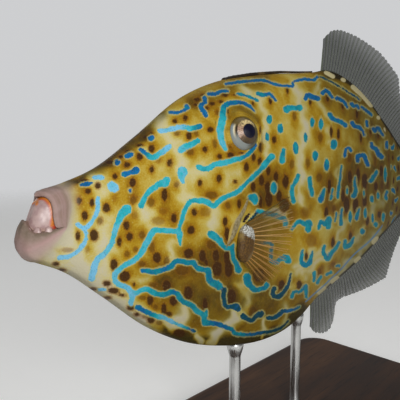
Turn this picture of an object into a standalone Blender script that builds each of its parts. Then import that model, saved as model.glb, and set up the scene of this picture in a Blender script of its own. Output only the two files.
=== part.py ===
"""A life-size scrawled filefish on a plain display stand.

Metres, +Z up. The snout points along -X, the fish's left side faces -Y, and the
stand's base rests on Z = 0. Distances along the fish, called s, run from the tip
of the lower lip to the end of the tail fin. Heights on the fish are measured from
the straight line between the mouth and the root of the tail fin.
"""
import math

import bmesh
import bpy
import numpy as np
from mathutils import Matrix, Vector

# Overall sizes
TOTAL_LENGTH = 0.540
NOSE_X = -TOTAL_LENGTH / 2
BASE_SIZE = (0.250, 0.120, 0.015)
BELLY_CLEARANCE = 0.055
BELLY_DEPTH = 0.0795
AXIS_Z = BASE_SIZE[2] + BELLY_CLEARANCE + BELLY_DEPTH
GAP = 0.0003
CUT_HALF_DEPTH = 0.05

# Outline of the body as (s, height or half width)
BACK_LINE = [(0.012, 0.0113), (0.032, 0.0188), (0.052, 0.0320), (0.073, 0.0474), (0.100, 0.0588),
             (0.120, 0.0632), (0.145, 0.0677), (0.170, 0.0714), (0.184, 0.0738), (0.194, 0.0761),
             (0.207, 0.0766), (0.222, 0.0744), (0.251, 0.0658), (0.285, 0.0495), (0.326, 0.0285),
             (0.350, 0.0205), (0.372, 0.0180), (0.390, 0.0190)]
BELLY_LINE = [(0.004, -0.0138), (0.016, -0.0200), (0.032, -0.0320), (0.052, -0.0490),
              (0.073, -0.0620), (0.100, -0.0725), (0.128, -0.0786), (0.148, -0.0795),
              (0.168, -0.0758), (0.184, -0.0693), (0.208, -0.0635), (0.251, -0.0530),
              (0.285, -0.0415), (0.326, -0.0270), (0.350, -0.0200), (0.372, -0.0180),
              (0.390, -0.0190)]
HALF_WIDTH = [(0.005, 0.0078), (0.012, 0.0085), (0.032, 0.0112), (0.060, 0.0155), (0.092, 0.0198),
              (0.115, 0.0217), (0.140, 0.0222), (0.170, 0.0208), (0.200, 0.0178), (0.250, 0.0125),
              (0.300, 0.0080), (0.350, 0.0050), (0.390, 0.0034)]
SHARPNESS = [(0.010, 0.80), (0.045, 0.95), (0.090, 1.15), (0.200, 1.30), (0.340, 1.15), (0.390, 0.90)]
EDGE_HALF_WIDTH = 0.0013
SIDE_POINTS = 14

# The edge of the mouth leans back at the top and is drawn back further at its corners
MOUTH_S = 0.0112
MOUTH_LEAN = 0.0058
MOUTH_CORNER_SETBACK = 0.0032
LEAN_END_S = 0.060
MOUTH_MARGIN = 0.010
MOUTH_SEAM = 0.00033
TAIL_CUT_S = 0.305
TAIL_FIN_S = 0.386
HEAD_STATIONS = [MOUTH_S, 0.016, 0.022, 0.030, 0.040, 0.050, 0.060, 0.070, 0.080, 0.090, 0.100,
                 0.110, 0.120]
TRUNK_STATIONS = [0.070, 0.080, 0.090, 0.100, 0.110, 0.120, 0.132, 0.144, 0.156, 0.168, 0.180,
                  0.192, 0.204, 0.216, 0.228, 0.240, 0.254, 0.270, 0.288, TAIL_CUT_S]
TAIL_STATIONS = [TAIL_CUT_S + GAP, 0.318, 0.330, 0.342, 0.356, 0.371, TAIL_FIN_S]

# The head ends at the gill slit and, above and below it, at a bent cut
SLIT_TOP = (0.0987, 0.0060)
SLIT_BOTTOM = (0.0822, -0.0160)
HEAD_OUTLINE = [(-0.030, 0.100), (0.118, 0.100), (0.115, 0.045), (0.107, 0.018), SLIT_TOP,
                SLIT_BOTTOM, (0.080, -0.030), (0.090, -0.100), (-0.030, -0.100)]
SLIT_DEPTH = 0.0055
SLIT_HALF_OPENING = 0.0015
SLIT_SEAM = 0.00039

# Eyes, with their raised orbits, and nostrils
EYE_RADIUS = 0.0093
EYE_CENTRE = (0.0985, -0.0121, 0.0321)
EYE_AXIS = (-0.22, -0.94, 0.26)
ORBIT_RING_RADIUS = 0.0092
ORBIT_THICKNESS = 0.0024
ORBIT_LIFT = 0.0033
NOSTRILS = [(0.0800, 0.0385), (0.0845, 0.0370)]
NOSTRIL_RADIUS = 0.0011
NOSTRIL_DEPTH = 0.003

# Lips and teeth
LIP_HALF_WIDTH = 0.0063
LIP_TOP_Z = 0.0103
LIP_CORNER_Z = -0.0016
LIP_TOP_S = 0.0120
LIP_CORNER_S = 0.0130
LIP_REACH = (0.0030, 0.0052)
LIP_THICKNESS = 0.0021
LIP_SWEEP = 108.0
LOWER_LIP_CENTRE = (0.0120, 0.0, -0.0074)
LOWER_LIP_RADII = (0.0120, 0.0082, 0.0070)
LOWER_LIP_TILT = -0.10
LOWER_LIP_BOXINESS = 0.78
UPPER_TOOTH_CENTRE = (0.0134, 0.0030, 0.0022)
UPPER_TOOTH_RADII = (0.0081, 0.0037, 0.0080)
LOWER_TEETH = 6
LOWER_TOOTH_ARC = (0.0125, 0.0080, 0.0058, -0.0028)
LOWER_TOOTH_RADII = (0.0010, 0.0013, 0.0030)
LOWER_GUM_RADII = (0.0011, 0.0010)
LOWER_TOOTH_SWEEP = 62.0

# Fins: rays along the base, and each ray's length and backward slope, by share of the base
DORSAL_SPAN = (0.193, 0.340)
DORSAL_RAYS = 46
DORSAL_LENGTH = [(0.0, 0.021), (0.05, 0.028), (0.1, 0.0315), (0.2, 0.035), (0.35, 0.036),
                 (0.5, 0.034), (0.7, 0.026), (1.0, 0.012)]
DORSAL_SLOPE = [(0.0, 8.0), (0.1, 17.0), (0.2, 24.0), (0.35, 32.0), (0.5, 40.0), (1.0, 54.0)]
DORSAL_LEAN = [(0.0, 3.0), (0.1, 3.0), (0.2, 0.0), (0.35, -10.0), (0.5, -18.0), (0.7, -8.0), (1.0, 4.0)]
ANAL_SPAN = (0.187, 0.340)
ANAL_RAYS = 49
ANAL_LENGTH = [(0.0, 0.020), (0.03, 0.027), (0.06, 0.030), (0.1, 0.033), (0.15, 0.033),
               (0.19, 0.029), (0.25, 0.031), (0.5, 0.033), (0.8, 0.022), (1.0, 0.012)]
ANAL_SLOPE = [(0.0, 4.0), (0.08, 6.0), (0.13, 12.0), (0.19, 38.0), (0.5, 42.0), (1.0, 54.0)]
ANAL_LEAN = [(0.0, 4.0), (0.08, 0.0), (0.13, 0.0), (0.19, 14.0), (0.25, 14.0), (0.35, 2.0),
             (0.5, -14.0), (0.7, -6.0), (1.0, 2.0)]
MEDIAN_FIN_ROWS = 4
TAIL_FIN_ROWS = 8
PECTORAL_ROWS = 5
FIN_ROOT_HALF = 0.0010
FIN_EDGE_HALF = 0.0004
RAY_RELIEF = 0.00016
TAIL_FIN_RAYS = 12
TAIL_RAY_COLUMNS = 4
TAIL_FIN_ROOT_HALF_HEIGHT = 0.0172
TAIL_FIN_SPREAD = 15.0
TAIL_FIN_ROOT_HALF = 0.0022
TAIL_FIN_OUTER_LENGTH = 0.112
BRANCH_SHARE = 0.4
TAIL_FIN_BEND = 0.006
TAIL_FIN_ROUNDING = 2.4
TAIL_FIN_TAPER = 1.6
PECTORAL_RAYS = 14
PECTORAL_BASE = ((0.0945, -0.0070), (0.0925, -0.0240))
PECTORAL_SLOPE = (24.0, -56.0)
PECTORAL_LENGTH = [(0.0, 0.027), (0.3, 0.0295), (0.7, 0.0265), (0.9, 0.0195), (1.0, 0.012)]
PECTORAL_FLARE = 0.0042
PECTORAL_ROOT_HALF = 0.0009
PECTORAL_LOBE_RADII = (0.0050, 0.0030, 0.0095)
PECTORAL_LOBE_SETBACK = 0.001
PECTORAL_LOBE_LIFT = 0.0006

# The first dorsal spine lies folded along the back
SPINE_SPAN = (0.1020, 0.1815)
SPINE_RADII = [(0.0, 0.0017), (0.12, 0.0012), (0.3, 0.0011), (1.0, 0.0005)]
SPINE_LIFT = [(0.0, -0.0004), (0.1, 0.0010), (0.25, 0.0017), (0.6, 0.0016), (1.0, 0.0009)]

# Stand
ROD_RADIUS = 0.003
ROD_STATIONS = {"stand_rod_front": 0.112, "stand_rod_rear": 0.170}
ROD_DEPTH_IN_BELLY = 0.012
ROD_DEPTH_IN_BASE = 0.008
BASE_CORNER_RADIUS = 0.022
BASE_EDGE_RADIUS = 0.0025
BASE_CENTRE_S = 0.160

# Colour, roughness and how metallic each surface is
FINISHES = {
    "skin": ((0.42, 0.27, 0.08), 0.6, 0.0),
    "lip": ((0.55, 0.42, 0.40), 0.45, 0.0),
    "tooth": ((0.80, 0.68, 0.62), 0.3, 0.0),
    "eye": ((0.45, 0.36, 0.18), 0.1, 0.0),
    "spine": ((0.16, 0.11, 0.05), 0.6, 0.0),
    "fin": ((0.20, 0.20, 0.14), 0.5, 0.0),
    "stand_wood": ((0.05, 0.03, 0.02), 0.35, 0.0),
    "stand_steel": ((0.62, 0.62, 0.60), 0.3, 1.0),
}


def clear_scene():
    """Remove every object, so that the file starts empty."""
    for old in list(bpy.data.objects):
        bpy.data.objects.remove(old, do_unlink=True)


def new_collection(name):
    """Make a collection and link it to the scene."""
    collection = bpy.data.collections.new(name)
    bpy.context.scene.collection.children.link(collection)
    return collection


def place(s, y, z):
    """Turn a place on the fish into a place in the model's frame."""
    return Vector((s + NOSE_X, y, z + AXIS_Z))


def smooth_through(points, x):
    """Value at x of a smooth curve through (x, value) pairs."""
    xs, values = np.array(points).T
    slopes = np.gradient(values, xs)
    i = int(np.clip(np.searchsorted(xs, x) - 1, 0, len(xs) - 2))
    span = xs[i + 1] - xs[i]
    t = min(max((x - xs[i]) / span, 0.0), 1.0)
    rise = t * t * (3.0 - 2.0 * t)
    start_bend = t * (1.0 - t) ** 2 * span * slopes[i]
    end_bend = -t * t * (1.0 - t) * span * slopes[i + 1]
    return float(values[i] + (values[i + 1] - values[i]) * rise + start_bend + end_bend)


def along(points, share):
    """Straight-line value at a share between 0 and 1 of (share, value) pairs."""
    shares, values = zip(*points)
    return float(np.interp(share, shares, values))


def mesh_object(name, bm, collection):
    """Turn a bmesh into an object whose faces point out."""
    bmesh.ops.recalc_face_normals(bm, faces=bm.faces)
    mesh = bpy.data.meshes.new(name)
    bm.to_mesh(mesh)
    bm.free()
    made = bpy.data.objects.new(name, mesh)
    collection.objects.link(made)
    return made


def loft(name, rings, collection):
    """Close a row of equal, even-sided rings into one solid whose ends are straight across."""
    bm = bmesh.new()
    rows = [[bm.verts.new(point) for point in ring] for ring in rings]
    count = len(rows[0])
    for near, far in zip(rows, rows[1:]):
        for i in range(count):
            j = (i + 1) % count
            bm.faces.new((near[i], near[j], far[j], far[i]))
    for row in (rows[0], rows[-1]):
        for i in range(count // 2 - 1):
            bm.faces.new((row[i], row[i + 1], row[-i - 2], row[-i - 1]))
    return mesh_object(name, bm, collection)


def tube(name, path, radii, reference, sides, collection):
    """Loft ellipses along a path; each radius pair is along the reference and across it."""
    rings = []
    for i, centre in enumerate(path):
        ahead = path[min(i + 1, len(path) - 1)]
        behind = path[max(i - 1, 0)]
        tangent = (ahead - behind).normalized()
        first = (reference - tangent * reference.dot(tangent)).normalized()
        second = tangent.cross(first)
        turns = [2.0 * math.pi * k / sides for k in range(sides)]
        rings.append([centre + first * radii[i][0] * math.cos(a) + second * radii[i][1] * math.sin(a)
                      for a in turns])
    return loft(name, rings, collection)


def ellipsoid(name, centre, radii, axes, segments, collection, boxiness=1.0):
    """A ball stretched along three axes; a boxiness below 1 squares its sides."""
    bm = bmesh.new()
    bmesh.ops.create_uvsphere(bm, u_segments=segments, v_segments=segments // 2 + 2, radius=1.0)
    for vert in bm.verts:
        vert.co = [math.copysign(abs(value) ** boxiness, value) for value in vert.co]
    turn = axes.to_4x4() @ Matrix.Diagonal((*radii, 1.0))
    bmesh.ops.transform(bm, matrix=Matrix.Translation(centre) @ turn, verts=bm.verts)
    return mesh_object(name, bm, collection)


def cylinder(name, x, y, z_low, z_high, radius, sides, collection):
    """An upright cylinder between two heights."""
    bm = bmesh.new()
    bmesh.ops.create_cone(bm, cap_ends=True, segments=sides, radius1=radius, radius2=radius,
                          depth=z_high - z_low)
    bmesh.ops.translate(bm, verts=bm.verts, vec=(x, y, (z_low + z_high) / 2))
    return mesh_object(name, bm, collection)


def sheet_normal(centres, r, c):
    """Direction across a grid of points; straight across the fish at the root row."""
    if r == 0:
        return Vector((0.0, 1.0, 0.0))
    along_row = centres[r][min(c + 1, len(centres[r]) - 1)] - centres[r][max(c - 1, 0)]
    outward = centres[min(r + 1, len(centres) - 1)][c] - centres[r - 1][c]
    normal = along_row.cross(outward).normalized()
    return normal if normal.y > 0.0 else -normal


def sheet(name, centres, halves, collection):
    """A thin solid over a grid of centre points, split alike on its two faces."""
    bm = bmesh.new()
    rows = len(centres)
    columns = len(centres[0])
    faces = {}
    for side in (1, -1):
        faces[side] = [[bm.verts.new(centres[r][c] + sheet_normal(centres, r, c) * halves[r][c] * side)
                        for c in range(columns)] for r in range(rows)]
    for r in range(rows - 1):
        for c in range(columns - 1):
            for side in (1, -1):
                grid = faces[side]
                low, right = grid[r][c], grid[r][c + 1]
                up, corner = grid[r + 1][c], grid[r + 1][c + 1]
                bm.faces.new((low, right, corner)[::side])
                bm.faces.new((low, corner, up)[::side])
    border = [(0, c) for c in range(columns)]
    border += [(r, columns - 1) for r in range(1, rows)]
    border += [(rows - 1, c) for c in range(columns - 2, -1, -1)]
    border += [(r, 0) for r in range(rows - 2, 0, -1)]
    for (r0, c0), (r1, c1) in zip(border, border[1:] + border[:1]):
        near, far = faces[1][r0][c0], faces[-1][r0][c0]
        next_near, next_far = faces[1][r1][c1], faces[-1][r1][c1]
        bm.faces.new((near, far, next_far))
        bm.faces.new((near, next_far, next_near))
    return mesh_object(name, bm, collection)


def boolean(target, tool, operation, solver="EXACT"):
    """Cut, join or intersect the target with another object or collection."""
    step = target.modifiers.new(operation.lower(), "BOOLEAN")
    step.operation = operation
    step.solver = solver
    if isinstance(tool, bpy.types.Collection):
        step.operand_type = "COLLECTION"
        step.collection = tool
    else:
        step.object = tool
        tool.hide_render = True
        tool.display_type = "WIRE"


def closed_surfaces(bm):
    """Groups of faces that hang together."""
    waiting = set(bm.faces)
    groups = []
    while waiting:
        stack = [waiting.pop()]
        group = list(stack)
        while stack:
            for edge in stack.pop().edges:
                for face in edge.link_faces:
                    if face in waiting:
                        waiting.remove(face)
                        stack.append(face)
                        group.append(face)
        groups.append(group)
    return groups


def enclosed_volume(faces):
    """Volume inside a group of faces, by fans from the origin."""
    total = 0.0
    for face in faces:
        first, *rest = [vert.co for vert in face.verts]
        for a, b in zip(rest, rest[1:]):
            total += first.dot(a.cross(b)) / 6.0
    return abs(total)


def apply_and_keep_largest(target):
    """Apply the modifiers and keep only the largest closed surface."""
    bpy.context.view_layer.update()
    evaluated = target.evaluated_get(bpy.context.evaluated_depsgraph_get())
    mesh = bpy.data.meshes.new_from_object(evaluated)
    target.modifiers.clear()
    target.data = mesh
    bm = bmesh.new()
    bm.from_mesh(mesh)
    bmesh.ops.triangulate(bm, faces=bm.faces)
    groups = sorted(closed_surfaces(bm), key=enclosed_volume)
    scraps = [face for group in groups[:-1] for face in group]
    bmesh.ops.delete(bm, geom=scraps, context="FACES")
    bm.to_mesh(mesh)
    bm.free()


def body_ring(s, grow=0.0):
    """Points round the body's section: up the far side, then down the near side."""
    nearness = max(0.0, 1.0 - (s - MOUTH_S) / (LEAN_END_S - MOUTH_S))
    s_top, s_bottom = s + MOUTH_LEAN * nearness, s - MOUTH_LEAN * nearness
    z_top = smooth_through(BACK_LINE, s_top) + grow
    z_bottom = smooth_through(BELLY_LINE, s_bottom) - grow
    half = smooth_through(HALF_WIDTH, s) + grow
    sharpness = smooth_through(SHARPNESS, s)
    side = []
    for k in range(SIDE_POINTS + 1):
        angle = math.pi * (k / SIDE_POINTS - 0.5)
        share = (math.sin(angle) + 1.0) / 2.0
        width = EDGE_HALF_WIDTH + (half - EDGE_HALF_WIDTH) * max(math.cos(angle), 0.0) ** sharpness
        back = MOUTH_CORNER_SETBACK * nearness * (1.0 - (2.0 * share - 1.0) ** 2)
        side.append((s_bottom + (s_top - s_bottom) * share + back, width,
                     z_bottom + (z_top - z_bottom) * share))
    far_side = [place(at, width, z) for at, width, z in side]
    near_side = [place(at, -width, z) for at, width, z in reversed(side)]
    return far_side + near_side


def body_half_width_at(s, z):
    """Half width of the body at a place along it and a height on its side."""
    z_top = smooth_through(BACK_LINE, s)
    z_bottom = smooth_through(BELLY_LINE, s)
    up = 2.0 * (z - z_bottom) / (z_top - z_bottom) - 1.0
    round_share = math.sqrt(max(1.0 - up * up, 0.0)) ** smooth_through(SHARPNESS, s)
    return EDGE_HALF_WIDTH + (smooth_through(HALF_WIDTH, s) - EDGE_HALF_WIDTH) * round_share


def edge_height(line, s):
    """Height of the faceted back or belly edge at s."""
    stations = sorted(set(TRUNK_STATIONS + TAIL_STATIONS))
    return float(np.interp(s, stations, [smooth_through(line, at) for at in stations]))


def flat_prism(name, outline, shift, collection):
    """A side-on outline of (s, height) pairs, extruded across the fish."""
    bm = bmesh.new()
    loop = [bm.verts.new(place(s + shift, -CUT_HALF_DEPTH, z)) for s, z in outline]
    face = bm.faces.new(loop)
    across = bmesh.ops.extrude_face_region(bm, geom=[face])["geom"]
    moved = [item for item in across if isinstance(item, bmesh.types.BMVert)]
    bmesh.ops.translate(bm, verts=moved, vec=(0.0, 2.0 * CUT_HALF_DEPTH, 0.0))
    return mesh_object(name, bm, collection)


def mirrored(point, side):
    """A near-side place on the fish, or its twin on the far side for side = 1."""
    return Vector((point[0], -side * point[1], point[2]))


def axes_along(direction):
    """Rotation whose third axis follows a direction."""
    return Vector(direction).normalized().to_track_quat("Z", "Y").to_matrix()


def behind_mouth(collection):
    """Everything behind the mouth's edge, less the gap, as a cutter for lips and teeth."""
    edge = body_ring(MOUTH_S)[:SIDE_POINTS + 1]
    outline = [(point.x - NOSE_X, point.z - AXIS_Z) for point in edge]
    (low_s, low_z), (high_s, high_z) = outline[0], outline[-1]
    outline = [(low_s, low_z - MOUTH_MARGIN)] + outline + [(high_s, high_z + MOUTH_MARGIN)]
    rear = high_s + 2.0 * MOUTH_MARGIN
    outline += [(rear, high_z + MOUTH_MARGIN), (rear, low_z - MOUTH_MARGIN)]
    return flat_prism("cut_behind_mouth", outline, -MOUTH_SEAM, collection)


def make_head(parts, cutters):
    """Head from the mouth to the gill slit, with raised orbits, sockets and nostrils."""
    head = loft("head", [body_ring(s) for s in HEAD_STATIONS], parts)
    boolean(head, flat_prism("cut_head_end", HEAD_OUTLINE, 0.0, cutters), "INTERSECT")
    raised = bpy.data.collections.new("raised")
    for side in (-1, 1):
        axis = mirrored(EYE_AXIS, side).normalized()
        centre = mirrored(EYE_CENTRE, side)
        raised.objects.link(orbit_ring(centre, axis, cutters))
    boolean(head, raised, "UNION")
    apply_and_keep_largest(head)
    remove_all(raised)
    for side in (-1, 1):
        centre = place(*mirrored(EYE_CENTRE, side))
        ball = ellipsoid(f"cut_socket_{side}", centre, [EYE_RADIUS + GAP] * 3,
                         axes_along(mirrored(EYE_AXIS, side)), 20, cutters)
        boolean(head, ball, "DIFFERENCE")
        for i, (s, z) in enumerate(NOSTRILS):
            at = place(s, side * body_half_width_at(s, z), z)
            pit = ellipsoid(f"cut_nostril_{side}_{i}", at, (NOSTRIL_RADIUS, NOSTRIL_DEPTH, NOSTRIL_RADIUS),
                            Matrix.Identity(3), 10, cutters)
            boolean(head, pit, "DIFFERENCE")
    apply_and_keep_largest(head)
    return head


def orbit_ring(centre, axis, collection):
    """A ring of flesh round the eye, which the eye's socket then opens."""
    turn = axes_along(axis)
    middle = place(*centre) + axis * ORBIT_LIFT
    around_steps, tip_steps = 22, 9
    bm = bmesh.new()
    rows = []
    for i in range(around_steps):
        around = 2.0 * math.pi * i / around_steps
        outward = turn @ Vector((math.cos(around), math.sin(around), 0.0))
        row = []
        for k in range(tip_steps):
            tip = 2.0 * math.pi * k / tip_steps
            reach = ORBIT_RING_RADIUS + ORBIT_THICKNESS * math.cos(tip)
            row.append(bm.verts.new(middle + outward * reach + axis * ORBIT_THICKNESS * math.sin(tip)))
        rows.append(row)
    for i, row in enumerate(rows):
        after = rows[(i + 1) % around_steps]
        for k in range(tip_steps):
            up = (k + 1) % tip_steps
            bm.faces.new((row[k], after[k], after[up], row[up]))
    return mesh_object("orbit_ring", bm, collection)


def remove_all(collection):
    """Remove a collection with its objects."""
    for spent in list(collection.objects):
        bpy.data.objects.remove(spent, do_unlink=True)
    bpy.data.collections.remove(collection)


def make_trunk(parts, cutters):
    """Trunk from the gill slit to the tail root's cut, drilled for the rods."""
    trunk = loft("trunk", [body_ring(s) for s in TRUNK_STATIONS], parts)
    boolean(trunk, flat_prism("cut_trunk_front", HEAD_OUTLINE, SLIT_SEAM, cutters), "DIFFERENCE")
    along_slit = Vector((SLIT_TOP[0] - SLIT_BOTTOM[0], 0.0, SLIT_TOP[1] - SLIT_BOTTOM[1]))
    middle_s = (SLIT_TOP[0] + SLIT_BOTTOM[0]) / 2 + SLIT_HALF_OPENING
    middle_z = (SLIT_TOP[1] + SLIT_BOTTOM[1]) / 2
    for side in (-1, 1):
        centre = place(middle_s, side * body_half_width_at(middle_s, middle_z), middle_z)
        slit = ellipsoid(f"cut_slit_{side}", centre,
                         (SLIT_HALF_OPENING, SLIT_DEPTH, along_slit.length / 2),
                         Matrix.Rotation(math.atan2(along_slit.x, along_slit.z), 3, "Y"), 16, cutters)
        boolean(trunk, slit, "DIFFERENCE")
    for name, s in ROD_STATIONS.items():
        low = smooth_through(BELLY_LINE, s) + AXIS_Z
        hole = cylinder("cut_" + name, s + NOSE_X, 0.0, low - 0.01, low + ROD_DEPTH_IN_BELLY + GAP,
                        ROD_RADIUS + GAP, 16, cutters)
        boolean(trunk, hole, "DIFFERENCE")
    apply_and_keep_largest(trunk)
    return trunk


def make_tail(parts):
    """Tail root, which ends flat where the tail fin begins."""
    return loft("tail", [body_ring(s) for s in TAIL_STATIONS], parts)


def make_eye(name, side, parts):
    """An eyeball in its socket."""
    return ellipsoid(name, place(*mirrored(EYE_CENTRE, side)), [EYE_RADIUS] * 3,
                     axes_along(mirrored(EYE_AXIS, side)), 20, parts)


def upper_lip(name, grow, collection):
    """The hood of the upper lip, from corner to corner over the teeth."""
    path, radii = [], []
    steps = 14
    for i in range(steps + 1):
        angle = math.radians(LIP_SWEEP * (2.0 * i / steps - 1.0))
        height = math.cos(angle)
        s = LIP_CORNER_S + (LIP_TOP_S - LIP_CORNER_S) * height
        z = LIP_CORNER_Z + (LIP_TOP_Z - LIP_CORNER_Z) * height
        path.append(place(s, LIP_HALF_WIDTH * math.sin(angle), z))
        reach = LIP_REACH[0] + (LIP_REACH[1] - LIP_REACH[0]) * height
        radii.append((reach + grow, LIP_THICKNESS + grow))
    return tube(name, path, radii, Vector((1.0, 0.0, 0.0)), 14, collection)


def lower_lip_ball(name, grow, collection):
    """The blunt ball of the lower lip, which juts out in front of the upper one."""
    radii = [radius + grow for radius in LOWER_LIP_RADII]
    turn = Matrix.Rotation(LOWER_LIP_TILT, 3, "Y")
    return ellipsoid(name, place(*LOWER_LIP_CENTRE), radii, turn, 20, collection, LOWER_LIP_BOXINESS)


def upper_tooth_plates(name, grow, collection):
    """Two rounded plates that fill the open mouth under the upper lip."""
    plates = bpy.data.collections.new("plates")
    made = None
    for side in (-1, 1):
        s, y, z = UPPER_TOOTH_CENTRE
        radii = [radius + grow for radius in UPPER_TOOTH_RADII]
        plate = ellipsoid(name, place(s, side * y, z), radii, Matrix.Identity(3), 16, collection)
        if made is None:
            made = plate
        else:
            plates.objects.link(plate)
    boolean(made, plates, "UNION")
    apply_and_keep_largest(made)
    remove_all(plates)
    return made


def lower_teeth(name, grow, collection):
    """A row of small pointed teeth on one gum, standing in the lower lip."""
    row = bpy.data.collections.new("row")
    path = []
    centre_s, reach, half_width, z = LOWER_TOOTH_ARC
    radii = [radius + grow for radius in LOWER_TOOTH_RADII]
    for i in range(LOWER_TEETH):
        angle = math.radians(LOWER_TOOTH_SWEEP * (2.0 * i / (LOWER_TEETH - 1) - 1.0))
        at = place(centre_s - reach * math.cos(angle), half_width * math.sin(angle), z)
        path.append(at)
        row.objects.link(ellipsoid("tooth", at, radii, Matrix.Rotation(angle, 3, "Z"), 8, collection))
    gum_radii = [radius + grow for radius in LOWER_GUM_RADII]
    gum = tube(name, path, [gum_radii] * len(path), Vector((0.0, 0.0, 1.0)), 8, collection)
    boolean(gum, row, "UNION")
    apply_and_keep_largest(gum)
    remove_all(row)
    return gum


def make_mouth(parts, cutters):
    """Lips and teeth, each cut clear of the pieces that it grows from."""
    back = behind_mouth(cutters)
    teeth_low = lower_teeth("teeth_lower", 0.0, parts)
    boolean(teeth_low, back, "DIFFERENCE")
    lip_up = upper_lip("lip_upper", 0.0, parts)
    boolean(lip_up, back, "DIFFERENCE")
    boolean(lip_up, lower_teeth("cut_teeth_lower", GAP, cutters), "DIFFERENCE")
    lip_up_grown = upper_lip("cut_lip_upper", GAP, cutters)
    lip_low = lower_lip_ball("lip_lower", 0.0, parts)
    for cutter in (back, lip_up_grown, lower_teeth("cut_teeth_in_lip", GAP, cutters)):
        boolean(lip_low, cutter, "DIFFERENCE")
    teeth_up = upper_tooth_plates("teeth_upper", 0.0, parts)
    for cutter in (back, lip_up_grown, lower_lip_ball("cut_lip_lower", GAP, cutters),
                   lower_teeth("cut_teeth_meet", GAP, cutters)):
        boolean(teeth_up, cutter, "DIFFERENCE")
    made = [teeth_low, lip_up, lip_low, teeth_up]
    for piece in made:
        apply_and_keep_largest(piece)
    return made


def curved_ray(root, reach, slope, lean, direction, u):
    """A point on a ray that leaves its root upright and bends over to its slope and lean."""
    tip = Vector((math.sin(slope) * math.cos(lean), math.sin(lean),
                  direction * math.cos(slope) * math.cos(lean))) * reach
    start = Vector((math.sin(0.8 * slope), 0.3 * math.sin(lean), direction * math.cos(0.8 * slope)))
    middle = start.normalized() * reach * 0.5
    return root + middle * (2.0 * u * (1.0 - u)) + tip * u ** 2


def ray_half(root_half, u, on_ray):
    """Half thickness of a fin: raised on a ray, thinner on the web between two rays."""
    half = root_half + (FIN_EDGE_HALF - root_half) * u
    return half if on_ray or u == 0.0 else half - RAY_RELIEF


def median_fin(name, span, rays, tables, line, direction, parts):
    """A long fin on the back or belly edge; direction is 1 upward and -1 downward."""
    lengths, slopes, leans = tables
    columns = 2 * rays - 1
    centres, halves = [], []
    for r in range(MEDIAN_FIN_ROWS + 1):
        u = r / MEDIAN_FIN_ROWS
        centre_row = []
        for c in range(columns):
            v = c / (columns - 1)
            s = span[0] + (span[1] - span[0]) * v
            root = place(s, 0.0, edge_height(line, s) + direction * GAP)
            centre_row.append(curved_ray(root, along(lengths, v), math.radians(along(slopes, v)),
                                         math.radians(along(leans, v)), direction, u))
        centres.append(centre_row)
        halves.append([ray_half(FIN_ROOT_HALF, u, c % 2 == 0) for c in range(columns)])
    return sheet(name, centres, halves, parts)


def make_tail_fin(parts):
    """The long rounded tail fin, with rays that fork."""
    columns = TAIL_RAY_COLUMNS * (TAIL_FIN_RAYS - 1) + 1
    middle_length = TOTAL_LENGTH - TAIL_FIN_S - GAP
    centres, halves = [], []
    for r in range(TAIL_FIN_ROWS + 1):
        u = r / TAIL_FIN_ROWS
        centre_row, half_row = [], []
        for c in range(columns):
            v = 2.0 * c / (columns - 1) - 1.0
            angle = math.radians(TAIL_FIN_SPREAD) * v
            reach = u * (middle_length + (TAIL_FIN_OUTER_LENGTH - middle_length) * abs(v) ** TAIL_FIN_ROUNDING)
            s = TAIL_FIN_S + GAP + reach * math.cos(angle)
            z = TAIL_FIN_ROOT_HALF_HEIGHT * v + reach * math.sin(angle)
            centre_row.append(place(s, TAIL_FIN_BEND * u ** 2, z))
            in_ray = c % TAIL_RAY_COLUMNS
            on_ray = in_ray == 0 if u < BRANCH_SHARE else in_ray in (1, 3)
            thick_root = (TAIL_FIN_ROOT_HALF - FIN_EDGE_HALF) * (1.0 - u) ** TAIL_FIN_TAPER
            half_row.append(thick_root + ray_half(FIN_EDGE_HALF, u, on_ray))
        centres.append(centre_row)
        halves.append(half_row)
    return sheet("tail_fin", centres, halves, parts)


def make_pectoral_fin(name, side, parts, cutters):
    """A small fan on a fleshy lobe behind the gill slit."""
    columns = 2 * PECTORAL_RAYS - 1
    (s_top, z_top), (s_low, z_low) = PECTORAL_BASE
    centres, halves = [], []
    for r in range(PECTORAL_ROWS + 1):
        u = r / PECTORAL_ROWS
        centre_row = []
        for c in range(columns):
            v = c / (columns - 1)
            slope = math.radians(PECTORAL_SLOPE[0] + (PECTORAL_SLOPE[1] - PECTORAL_SLOPE[0]) * v)
            reach = along(PECTORAL_LENGTH, v) * u
            s = s_top + (s_low - s_top) * v + reach * math.cos(slope)
            z = z_top + (z_low - z_top) * v + reach * math.sin(slope)
            out = body_half_width_at(s, z) + PECTORAL_ROOT_HALF + GAP + PECTORAL_FLARE * u
            centre_row.append(place(s, side * out, z))
        centres.append(centre_row)
        halves.append([ray_half(PECTORAL_ROOT_HALF, u, c % 2 == 0) for c in range(columns)])
    fin = sheet(name, centres, halves, parts)
    s, z = (s_top + s_low) / 2 + PECTORAL_LOBE_SETBACK, (z_top + z_low) / 2
    lobe = ellipsoid("lobe", place(s, side * (body_half_width_at(s, z) + PECTORAL_LOBE_LIFT), z),
                     PECTORAL_LOBE_RADII, Matrix.Identity(3), 14, cutters)
    lobes = bpy.data.collections.new("lobes")
    lobes.objects.link(lobe)
    boolean(fin, lobes, "UNION")
    apply_and_keep_largest(fin)
    remove_all(lobes)
    grown = loft("cut_" + name, [body_ring(at, GAP) for at in TRUNK_STATIONS[:9]], cutters)
    boolean(fin, grown, "DIFFERENCE")
    apply_and_keep_largest(fin)
    return fin


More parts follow.
